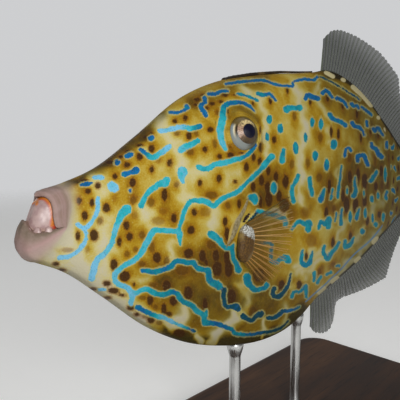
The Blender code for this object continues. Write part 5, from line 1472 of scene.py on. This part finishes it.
class Finish:
    """A material whose nodes are added one call at a time."""

    def __init__(self, name):
        self.material = bpy.data.materials.new(name)
        self.material.use_nodes = True
        self.nodes = self.material.node_tree.nodes
        self.links = self.material.node_tree.links
        self.shader = self.nodes["Principled BSDF"]
        self.place = self.nodes.new("ShaderNodeTexCoord").outputs["Object"]

    def feed(self, socket, value):
        """Give a socket a link, a plain value, or a colour as seen on a screen."""
        if isinstance(value, bpy.types.NodeSocket):
            self.links.new(value, socket)
        elif isinstance(value, tuple) and socket.type == "RGBA":
            socket.default_value = tint(*value)
        else:
            socket.default_value = value

    def surface(self, **values):
        """Set inputs of the surface shader, with _ for the spaces in their names."""
        for name, value in values.items():
            self.feed(self.shader.inputs[name.replace("_", " ")], value)

    def field(self, name):
        """A per-point field of the piece."""
        node = self.nodes.new("ShaderNodeAttribute")
        node.attribute_name = name
        return node.outputs["Fac"]

    def math(self, operation, first, second=0.0):
        """One sum on one or two values."""
        node = self.nodes.new("ShaderNodeMath")
        node.operation = operation
        self.feed(node.inputs[0], first)
        self.feed(node.inputs[1], second)
        return node.outputs[0]

    def times(self, first, second):
        """The product of two values."""
        return self.math("MULTIPLY", first, second)

    def step(self, value, start, end, low=0.0, high=1.0):
        """low before start, high after end, smooth between; start may lie after end."""
        node = self.nodes.new("ShaderNodeMapRange")
        node.interpolation_type = "SMOOTHSTEP"
        if start > end:
            start, end, low, high = end, start, high, low
        for socket, number in zip(node.inputs[1:5], (start, end, low, high)):
            socket.default_value = number
        self.feed(node.inputs[0], value)
        return node.outputs[0]

    def total(self, start, *shares):
        """A start value plus (value, factor) shares of others."""
        for value, factor in shares:
            start = self.math("ADD", start, self.times(value, factor))
        return start

    def mix(self, share, first, second, kind="MIX"):
        """Blend two colours."""
        node = self.nodes.new("ShaderNodeMix")
        node.data_type = "RGBA"
        node.blend_type = kind
        self.feed(node.inputs[0], share)
        self.feed(node.inputs[6], first)
        self.feed(node.inputs[7], second)
        return node.outputs[2]

    def glaze(self, colour, over, value, start, end, low=0.0, high=1.0):
        """A colour with another laid over it as a value steps from start to end."""
        return self.mix(self.step(value, start, end, low, high), colour, over)

    def ramp(self, value, stops):
        """A colour picked from (position, colour) stops."""
        node = self.nodes.new("ShaderNodeValToRGB")
        elements = node.color_ramp.elements
        while len(elements) < len(stops):
            elements.new(0.5)
        for element, (position, colour) in zip(elements, stops):
            element.position = position
            element.color = tint(*colour)
        self.feed(node.inputs[0], value)
        return node.outputs[0]

    def vector(self, *parts):
        """A place given by up to three values."""
        node = self.nodes.new("ShaderNodeCombineXYZ")
        for socket, part in zip(node.inputs, parts):
            self.feed(socket, part)
        return node.outputs[0]

    def noise(self, scale, detail=2.0, roughness=0.5, place=None, stretch=None):
        """Smooth noise, with its scale in bumps a metre."""
        node = self.nodes.new("ShaderNodeTexNoise")
        node.inputs["Scale"].default_value = scale
        node.inputs["Detail"].default_value = detail
        node.inputs["Roughness"].default_value = roughness
        self.feed(node.inputs["Vector"], self.stretched(place or self.place, stretch))
        return node.outputs["Fac"]

    def cells(self, scale):
        """Distances in a field of cells, with its scale in cells a metre."""
        node = self.nodes.new("ShaderNodeTexVoronoi")
        node.inputs["Scale"].default_value = scale
        self.feed(node.inputs["Vector"], self.place)
        return node.outputs["Distance"]

    def stretched(self, place, stretch):
        """The same places on axes stretched by three factors."""
        if stretch is None:
            return place
        node = self.nodes.new("ShaderNodeMapping")
        node.inputs["Scale"].default_value = stretch
        self.feed(node.inputs["Vector"], place)
        return node.outputs["Vector"]

    def bump(self, height, strength, distance, before=None):
        """Fine relief from a height, on top of an earlier relief."""
        node = self.nodes.new("ShaderNodeBump")
        node.inputs["Strength"].default_value = strength
        node.inputs["Distance"].default_value = distance
        self.feed(node.inputs["Height"], height)
        if before is not None:
            self.feed(node.inputs["Normal"], before)
        return node.outputs["Normal"]


def tint(red, green, blue):
    """A colour given as seen on a screen, from 0 to 255, as opaque light."""
    shares = (red / 255, green / 255, blue / 255)
    return (*(c / 12.92 if c <= 0.04045 else ((c + 0.055) / 1.055) ** 2.4 for c in shares), 1.0)


def paint(pieces, finish):
    """Put one finish on pieces."""
    for piece in pieces:
        piece.data.materials.clear()
        piece.data.materials.append(finish.material)


def skin_finish():
    """Ochre skin with pale bands, haloed brown spots and blue scrawls, over fine scales; its dark
    olive bands and its darker, more olive rear are partly painted shade.
    """
    skin = Finish("fish_skin")
    broad, middle, fine = skin.noise(75, 3), skin.noise(330, 3), skin.noise(1700, 2)
    rough = skin.math("SUBTRACT", middle, 0.5)
    sharp = skin.math("SUBTRACT", fine, 0.5)
    spot, depth, olive_and_shade = skin.field("spot"), skin.field("depth"), skin.field("olive_and_shade")
    apart = skin.step(skin.total(spot, (rough, 7.0), (sharp, 1.5)), 1.2, 7.0)
    cream = skin.total(0.29, (apart, 0.16), (skin.field("pale"), 0.48), (olive_and_shade, -0.30),
                       (skin.math("SUBTRACT", broad, 0.5), 0.8), (sharp, 0.3))
    ground = skin.ramp(cream, [(0.0, (94, 64, 4)), (0.18, (140, 100, 8)),
                               (0.38, (172, 136, 26)), (0.58, (190, 168, 76)),
                               (0.78, (200, 188, 130)), (1.0, (198, 190, 160))])
    flecks = skin.step(skin.cells(400), 0.15, 0.06, 0.0, 0.30)
    ground = skin.mix(flecks, ground, (206, 194, 120))
    # Painted shade of the light falling off towards the rear, with a more olive tint there: the
    # ground darkens to olive along the fish
    rearward = skin.nodes.new("ShaderNodeSeparateXYZ")
    skin.feed(rearward.inputs[0], skin.place)
    ground = skin.glaze(ground, (76, 80, 36), rearward.outputs[0], -0.13, 0.01, 0.0, 0.42)
    ragged = skin.total(spot, (sharp, 2.4), (rough, 2.8))
    halo = skin.times(skin.step(ragged, 2.1, 0.0), skin.step(depth, 0.0, 1.0, 0.36, 0.60))
    ground = skin.mix(halo, ground, (146, 90, 6))
    # Dark olive over the ground: partly the skin's own colour, partly painted shade on the lower
    # and rear body
    olive_and_shade_share = skin.times(olive_and_shade, skin.step(middle, 0.2, 0.8, 0.8, 1.1))
    olive_and_shade_share = skin.times(olive_and_shade_share, skin.step(skin.field("pale"), 0.4, 1.2, 1.0, 0.2))
    ground = skin.mix(olive_and_shade_share, ground, (58, 48, 16))
    core = skin.times(skin.step(ragged, 0.7, -1.2), skin.step(depth, 0.2, 1.0, 0.20, 0.94))
    ground = skin.mix(core, ground, (58, 32, 10))
    uneven = skin.total(skin.field("scrawl"), (sharp, 2.6), (rough, 3.0))
    ground = skin.glaze(ground, (192, 190, 120), uneven, 1.8, 0.5, 0.0, 0.50)
    crest = skin.mix(skin.field("crest"), ground, (30, 24, 12))
    crest = skin.glaze(crest, (206, 194, 146), skin.field("patch"), 0.7, -0.5)
    crest = skin.glaze(crest, (84, 136, 176), skin.field("line"), 0.3, -0.3, 0.0, 0.8)
    tone = skin.total(skin.math("DIVIDE", skin.field("tone"), 3.0), (rough, 0.5), (sharp, 0.3))
    blue = skin.ramp(tone, [(0.0, (122, 190, 222)), (0.30, (44, 174, 186)),
                            (0.50, (12, 134, 150)), (0.66, (12, 100, 162)),
                            (0.82, (6, 76, 98)), (1.0, (4, 56, 70))])
    blue = skin.glaze(blue, (4, 70, 96), fine, 0.48, 0.30, 0.0, 0.40)
    # The blue marks darken in the same bands: partly painted shade
    blue = skin.mix(skin.times(olive_and_shade, 0.45), blue, (4, 56, 66))
    marked = skin.mix(skin.step(uneven, 0.35, -0.35), crest, blue)
    grains = skin.step(skin.noise(2300, 1), 0.60, 0.78, 0.0, 0.10)
    marked = skin.mix(grains, marked, (236, 214, 132), "SCREEN")
    marked = skin.mix(skin.field("lip"), marked, lip_colour(skin, middle))
    # Painted shade where the lids roll into the gap by the eyeball
    marked = skin.mix(skin.times(skin.field("rim"), 0.7), marked, (70, 62, 40))
    scales = skin.bump(skin.cells(1250), 0.35, 0.00022)
    skin.surface(Base_Color=marked, Normal=skin.bump(fine, 0.25, 0.00015, scales),
                 Roughness=skin.step(fine, 0.3, 0.7, 0.50, 0.66), Specular_IOR_Level=0.13)
    return skin


def lip_colour(skin, middle):
    """Grey-pink lips: olive at the lower rim, streaked along the upper one, with a lining that
    darkens to dark red towards the throat, partly the flesh's colour and partly painted shade.
    """
    band = skin.field("band")
    along_band = skin.vector(skin.times(band, 7.0), skin.times(skin.field("upper"), 0.5))
    streak = skin.noise(1.0, 3, place=along_band)
    lower = skin.ramp(band, [(0.0, (98, 88, 70)), (0.22, (132, 114, 100)),
                             (0.50, (172, 141, 135)), (0.85, (182, 162, 148)),
                             (1.0, (178, 170, 142))])
    upper = skin.glaze((162, 135, 128), (142, 119, 106), streak, 0.36, 0.66)
    upper = skin.glaze(upper, (158, 150, 130), band, 0.65, 1.1)
    lip = skin.mix(skin.field("upper"), lower, upper)
    lip = skin.glaze(lip, (172, 148, 142), middle, 0.40, 0.72, 0.0, 0.45)
    # The lining darkens towards the throat: partly the mouth's red flesh, partly painted shade
    # deep in the mouth
    inside = skin.mix(skin.field("throat"), (138, 114, 102), (82, 44, 38))
    return skin.mix(skin.field("inside"), lip, inside)


def eye_finish():
    """Dark pupil, an iris that turns from gold to olive, and a pale outer ring with a painted
    cream highlight band.
    """
    eye = Finish("fish_eye")
    polar, up, fore = eye.field("polar"), eye.field("up"), eye.field("fore")
    outward = eye.vector(eye.times(up, 9.0), eye.times(fore, 9.0), eye.times(polar, 0.10))
    streak = eye.noise(1.0, 3, place=outward)
    scratch = eye.noise(520, 4, 0.7, stretch=(1.0, 1.0, 0.35))
    iris = eye.glaze((78, 76, 48), (188, 152, 124), fore, -0.6, 0.6)
    iris = eye.glaze(iris, (232, 208, 146), up, 0.30, 0.90)
    iris = eye.glaze(iris, (78, 62, 34), up, -0.30, -0.90)
    iris = eye.glaze(iris, (84, 62, 40), streak, 0.42, 0.62, 0.0, 0.6)
    iris = eye.glaze(iris, (44, 32, 20), scratch, 0.52, 0.62, 0.0, 0.6)
    iris = eye.glaze(iris, (74, 52, 44), polar, 22.5, 19.0, 0.0, 0.8)
    iris = eye.glaze(iris, (64, 50, 34), polar, 32.0, 36.0, 0.0, 0.65)
    pupil = eye.mix(eye.noise(300), (8, 8, 44), (4, 4, 14))
    inner = eye.glaze(iris, pupil, polar, PUPIL_ANGLE + 0.5, PUPIL_ANGLE - 0.5)
    # The cream band in the outer ring, between the iris and its grey-blue, is a painted highlight
    # on the wet eye
    front = eye.ramp(eye.step(polar, IRIS_ANGLE, 68.0),
                     [(0.02, (48, 40, 30)), (0.07, (128, 110, 80)),
                      (0.13, (212, 196, 156)), (0.22, (226, 216, 184)),
                      (0.34, (142, 156, 158)), (1.0, (104, 120, 128))])
    front = eye.glaze(front, (140, 146, 142), up, 0.1, -0.6)
    front = eye.glaze(front, (104, 88, 48), up, 0.35, 0.62)
    back = eye.glaze((66, 56, 34), (104, 98, 58), polar, 40.0, 48.0)
    outer = eye.mix(eye.step(fore, 0.25, -0.45), front, back)
    colour = eye.mix(eye.step(polar, IRIS_ANGLE + 0.6, IRIS_ANGLE - 1.0), outer, inner)
    eye.surface(Base_Color=colour, Roughness=0.34, Specular_IOR_Level=0.25,
                Coat_Weight=0.22, Coat_Roughness=0.04,
                Normal=eye.bump(scratch, 0.10, 0.0002))
    return eye


def fin_finish():
    """Smoky see-through web of the long fins, with thin paler jointed rays."""
    fin = Finish("median_web")
    strength = fin.step(fin.field("ray"), 0.15, 0.85)
    joints = fin.math("PINGPONG", fin.field("reach"), 0.55)
    joint = fin.times(fin.step(joints, 0.10, 0.02), fin.step(fin.field("out"), 0.15, 0.4))
    mottle = fin.noise(420, 3)
    webbing = fin.glaze((28, 32, 26), (50, 54, 42), mottle, 0.35, 0.7)
    rays = fin.mix(fin.times(joint, 0.5), (98, 104, 88), (56, 56, 42))
    rooted = fin.step(fin.field("out"), 0.0, 0.10, 1.0, 0.0)
    edge = fin.step(fin.field("out"), 0.5, 1.0, 1.0, 0.75)
    alpha = fin.times(fin.step(strength, 0.0, 1.0, 0.62, 0.90), edge)
    fin.surface(Base_Color=fin.mix(strength, webbing, rays), Specular_IOR_Level=0.3,
                Alpha=fin.math("MAXIMUM", rooted, alpha),
                Roughness=fin.step(mottle, 0.3, 0.7, 0.42, 0.58),
                Normal=fin.bump(fin.noise(1800, 2), 0.2, 0.0001))
    return fin


def pectoral_finish():
    """Fine tan rays, dusky ones above, in a clear web."""
    fan = Finish("pectoral_web")
    strength = fan.step(fan.field("ray"), 0.42, 0.92)
    low, out = fan.field("low"), fan.field("out")
    own = fan.noise(1.0, 1, place=fan.vector(fan.times(low, 40.0)))
    rays = fan.ramp(low, [(0.0, (70, 66, 34)), (0.10, (98, 84, 40)),
                          (0.20, (220, 180, 116)), (0.60, (196, 146, 80)),
                          (0.84, (208, 156, 86)), (1.0, (140, 100, 38))])
    rays = fan.glaze(rays, (96, 72, 30), own, 0.45, 0.65, 0.0, 0.45)
    joints = fan.math("PINGPONG", fan.field("reach"), 0.5)
    rays = fan.glaze(rays, (90, 66, 26), joints, 0.12, 0.02, 0.0, 0.4)
    web = fan.mix(fan.noise(420, 3), (92, 66, 18), (128, 96, 34))
    rooted = fan.step(out, 0.0, 0.75, 0.85, 0.0)
    thin = fan.step(out, 0.55, 1.0, 0.90, 0.45)
    alpha = fan.math("MAXIMUM", rooted, fan.times(strength, thin))
    alpha = fan.math("MAXIMUM", alpha, fan.step(out, 0.6, 1.0, 0.20, 0.07))
    fan.surface(Base_Color=fan.mix(strength, web, rays), Alpha=alpha, Specular_IOR_Level=0.3,
                Roughness=fan.step(fan.noise(420, 2), 0.3, 0.7, 0.42, 0.56),
                Normal=fan.bump(fan.noise(1800, 2), 0.2, 0.0001))
    return fan


def tail_finish():
    """Olive-brown tail fin with paler rays and a darker margin."""
    tail = Finish("tail_fin_skin")
    strength = tail.step(tail.field("ray"), 0.1, 0.8)
    out, mottle = tail.field("out"), tail.noise(160, 4)
    ground = tail.glaze((96, 76, 34), (134, 108, 52), mottle, 0.35, 0.7)
    ground = tail.glaze(ground, (52, 44, 26), out, 0.55, 1.0, 0.0, 0.6)
    joints = tail.math("PINGPONG", tail.field("reach"), 0.7)
    rays = tail.glaze((158, 138, 84), (92, 76, 40), joints, 0.12, 0.03, 0.0, 0.5)
    spots = tail.step(tail.cells(85), 0.17, 0.11)
    colour = tail.mix(tail.times(strength, 0.6), ground, rays)
    colour = tail.mix(tail.times(spots, tail.step(out, 0.75, 0.4)), colour, (30, 120, 168))
    tail.surface(Base_Color=colour, Alpha=tail.step(strength, 0.0, 1.0, 0.93, 1.0),
                 Roughness=tail.step(mottle, 0.3, 0.7, 0.4, 0.55),
                 Normal=tail.bump(tail.noise(1500, 2), 0.25, 0.00015))
    return tail


def lobe_finish():
    """White scaly patch over brown ridges on the pectoral fin's root."""
    lobe = Finish("pectoral_lobe_skin")
    high, back, fine = lobe.field("high"), lobe.field("back"), lobe.noise(1300, 3)
    scales = lobe.cells(1500)
    white = lobe.glaze((214, 214, 208), (128, 126, 112), scales, 0.25, 0.7)
    brown = lobe.glaze((68, 45, 14), (106, 76, 30), fine, 0.35, 0.7)
    brown = lobe.glaze(brown, (182, 158, 108), lobe.field("ridge"), 0.15, 0.7, 0.0, 0.85)
    split = lobe.total(high, (lobe.noise(500, 2), 0.4), (back, 0.35))
    colour = lobe.glaze(brown, white, split, 0.48, 0.62)
    front = lobe.times(lobe.step(back, -0.50, -0.85), lobe.step(high, 0.1, 0.5))
    colour = lobe.mix(lobe.times(front, 0.6), colour, (160, 136, 76))
    lobe.surface(Base_Color=colour, Roughness=lobe.step(fine, 0.3, 0.7, 0.50, 0.66),
                 Specular_IOR_Level=0.3, Normal=lobe.bump(scales, 0.7, 0.0003))
    return lobe


def flap_finish():
    """Grey-cream edge of the gill cover, with a painted yellow highlight along its front."""
    flap = Finish("gill_flap_skin")
    fine = flap.noise(900, 3)
    pale = flap.glaze((146, 134, 100), (112, 98, 60), fine, 0.35, 0.7)
    front = flap.field("front")
    # Painted highlight: a yellow band along the flap's front, blending into ochre at its very
    # front
    colour = flap.glaze(pale, (172, 148, 74), front, -0.20, -0.50)
    colour = flap.glaze(colour, (148, 114, 28), front, -0.50, -0.85)
    colour = flap.glaze(colour, (172, 160, 106), front, 0.80, 0.98)
    colour = flap.glaze(colour, (90, 72, 30), flap.field("down"), 0.80, 1.0, 0.0, 0.7)
    flap.surface(Base_Color=colour, Roughness=flap.step(fine, 0.3, 0.7, 0.46, 0.6),
                 Specular_IOR_Level=0.3, Normal=flap.bump(flap.cells(1300), 0.35, 0.0002))
    return flap


def gill_gap_shade_finish():
    """Near-black painted shade in the gill opening."""
    gap = Finish("gill_gap_shade")
    fine = gap.noise(900, 2)
    gap.surface(Base_Color=gap.mix(fine, (22, 12, 8), (48, 26, 16)),
                Roughness=gap.step(fine, 0.3, 0.7, 0.5, 0.7))
    return gap


def tooth_finish():
    """Pale pink-white teeth in orange-red gum with a yellow corner, and painted shade further into
    the mouth.
    """
    tooth = Finish("tooth_and_gum")
    fine = tooth.noise(420, 3)
    enamel = tooth.glaze((184, 158, 152), (158, 128, 126), fine, 0.35, 0.7)
    enamel = tooth.glaze(enamel, (206, 170, 130), tooth.field("tip"), -3.0, -6.5, 0.0, 0.5)
    flesh = tooth.mix(tooth.field("yellow"), (188, 66, 30), (206, 128, 44))
    flesh = tooth.glaze(flesh, (160, 50, 40), fine, 0.4, 0.7, 0.0, 0.4)
    colour = tooth.mix(tooth.field("gum"), enamel, flesh)
    # Painted shade: the plate darkens towards the back of the mouth
    colour = tooth.mix(tooth.field("mouth_shade_share"), colour, (96, 42, 30))
    tooth.surface(Base_Color=colour, Roughness=tooth.step(fine, 0.3, 0.7, 0.34, 0.5),
                  Coat_Weight=0.12, Coat_Roughness=0.2, Normal=tooth.bump(fine, 0.12, 0.0002))
    return tooth


def spine_finish():
    """Dark brown spine with slightly paler streaks."""
    spine = Finish("spine_horn")
    fine = spine.noise(700, 3)
    bars = spine.noise(90, 2, stretch=(1.0, 0.1, 0.1))
    colour = spine.glaze((40, 28, 12), (92, 74, 40), bars, 0.52, 0.64)
    colour = spine.glaze(colour, (26, 18, 10), fine, 0.4, 0.7, 0.0, 0.4)
    spine.surface(Base_Color=colour, Roughness=spine.step(fine, 0.3, 0.7, 0.4, 0.6),
                  Normal=spine.bump(fine, 0.3, 0.0002))
    return spine


def wood_finish():
    """Dark oiled wood with grain along the base."""
    wood = Finish("base_walnut")
    grain = wood.noise(42, 6, 0.62, stretch=(0.12, 1.0, 1.0))
    pores = wood.noise(900, 2, stretch=(0.05, 1.0, 1.0))
    colour = wood.ramp(grain, [(0.30, (38, 24, 16)), (0.52, (72, 46, 28)),
                               (0.72, (104, 70, 42))])
    colour = wood.glaze(colour, (22, 14, 9), pores, 0.56, 0.68, 0.0, 0.55)
    wood.surface(Base_Color=colour, Roughness=wood.step(grain, 0.3, 0.7, 0.30, 0.44),
                 Coat_Weight=0.25, Coat_Roughness=0.25, Normal=wood.bump(pores, 0.15, 0.0002))
    return wood


def steel_finish():
    """Brushed steel with fine marks round the rods."""
    steel = Finish("brushed_steel")
    marks = steel.noise(1400, 2, stretch=(1.0, 1.0, 0.04))
    steel.surface(Base_Color=steel.mix(marks, (176, 176, 174), (206, 206, 204)), Metallic=1.0,
                  Roughness=steel.step(marks, 0.3, 0.7, 0.22, 0.36),
                  Normal=steel.bump(marks, 0.1, 0.0001))
    return steel


def make_floor():
    """A pale studio floor that melts into the backdrop's light with distance."""
    mesh = bpy.data.meshes.new("studio_floor")
    mesh.from_pydata([(-3, -3, 0), (3, -3, 0), (3, 3, 0), (-3, 3, 0)], [], [(0, 1, 2, 3)])
    floor = bpy.data.objects.new("studio_floor", mesh)
    bpy.context.scene.collection.objects.link(floor)
    pale = Finish("studio_paper")
    length = pale.nodes.new("ShaderNodeVectorMath")
    length.operation = "LENGTH"
    pale.feed(length.inputs[0], pale.place)
    fade = pale.step(length.outputs["Value"], *FLOOR_FADE)
    pale.surface(Base_Color=pale.mix(pale.noise(90, 2), (236, 236, 234), (244, 244, 242)),
                 Roughness=0.9, Alpha=fade, Emission_Color=(236, 236, 235),
                 Emission_Strength=FLOOR_GLOW)
    paint([floor], pale)
    floor.visible_diffuse = False


def place_light(name, kind, spot, aim, width, strength):
    """A soft light that looks at a point: a round lamp, or one from far off."""
    data = bpy.data.lights.new(name, kind)
    data.energy = strength
    if kind == "SUN":
        data.angle = width
    else:
        data.shape = "DISK"
        data.size = width
    light = bpy.data.objects.new(name, data)
    light.location = spot
    light.rotation_euler = (Vector(aim) - Vector(spot)).to_track_quat("-Z", "Y").to_euler()
    bpy.context.scene.collection.objects.link(light)


def make_backdrop():
    """Soft light from all sides, in front of a paler backdrop."""
    world = bpy.data.worlds.new("backdrop")
    world.use_nodes = True
    nodes, links = world.node_tree.nodes, world.node_tree.links
    background = nodes["Background"]
    background.inputs["Color"].default_value = tint(232, 233, 235)
    path = nodes.new("ShaderNodeLightPath")
    strength = nodes.new("ShaderNodeMapRange")
    strength.inputs["To Min"].default_value = ROOM_LIGHT
    strength.inputs["To Max"].default_value = BACKDROP_LIGHT
    links.new(path.outputs["Is Camera Ray"], strength.inputs["Value"])
    links.new(strength.outputs["Result"], background.inputs["Strength"])
    bpy.context.scene.world = world


def make_studio():
    """Camera, soft lights, backdrop light and floor."""
    ahead, right, up = (Vector(axis) for axis in camera_axes())
    data = bpy.data.cameras.new("view")
    data.sensor_width = SENSOR_WIDTH
    data.lens = FOCAL_LENGTH * SENSOR_WIDTH / FRAME_SIZE
    data.clip_start = 0.01
    camera = bpy.data.objects.new("view", data)
    turned = Matrix((right, up, -ahead)).transposed().to_4x4()
    camera.matrix_world = Matrix.Translation(at_place(*CAMERA_AT)) @ turned
    bpy.context.scene.collection.objects.link(camera)
    bpy.context.scene.camera = camera
    for light in LIGHTS:
        place_light(*light)
    make_backdrop()
    bpy.context.scene.view_settings.view_transform = "Standard"
    make_floor()


def build():
    """Make every piece, dress it and set up the studio."""
    skin = make_skin()
    makers = (make_lids, make_eyeball, make_gill_flap, make_gill_gap_shade, make_pectoral_fin,
              make_lobe)
    lids, eyes, flaps, gaps, pectorals, lobes = zip(*([make(side) for make in makers]
                                                      for side in (-1, 1)))
    paint([skin, *lids], skin_finish())
    paint(eyes, eye_finish())
    paint(flaps, flap_finish())
    paint(gaps, gill_gap_shade_finish())
    paint(lobes, lobe_finish())
    paint(pectorals, pectoral_finish())
    dorsal = median_fin("dorsal_fin_web", DORSAL_SPAN, DORSAL_RAYS, DORSAL_TABLES, BACK_LINE, 1,
                        "dorsal_fin")
    anal = median_fin("anal_fin_web", ANAL_SPAN, ANAL_RAYS, ANAL_TABLES, BELLY_LINE, -1,
                      "anal_fin")
    paint([dorsal, anal], fin_finish())
    paint([make_tail_fin()], tail_finish())
    paint([make_spine(), make_spine_web()], spine_finish())
    paint([make_upper_teeth(), make_lower_teeth()], tooth_finish())
    paint([make_base()], wood_finish())
    paint([make_rod(name, s) for name, s in ROD_STATIONS.items()], steel_finish())
    make_studio()


build()
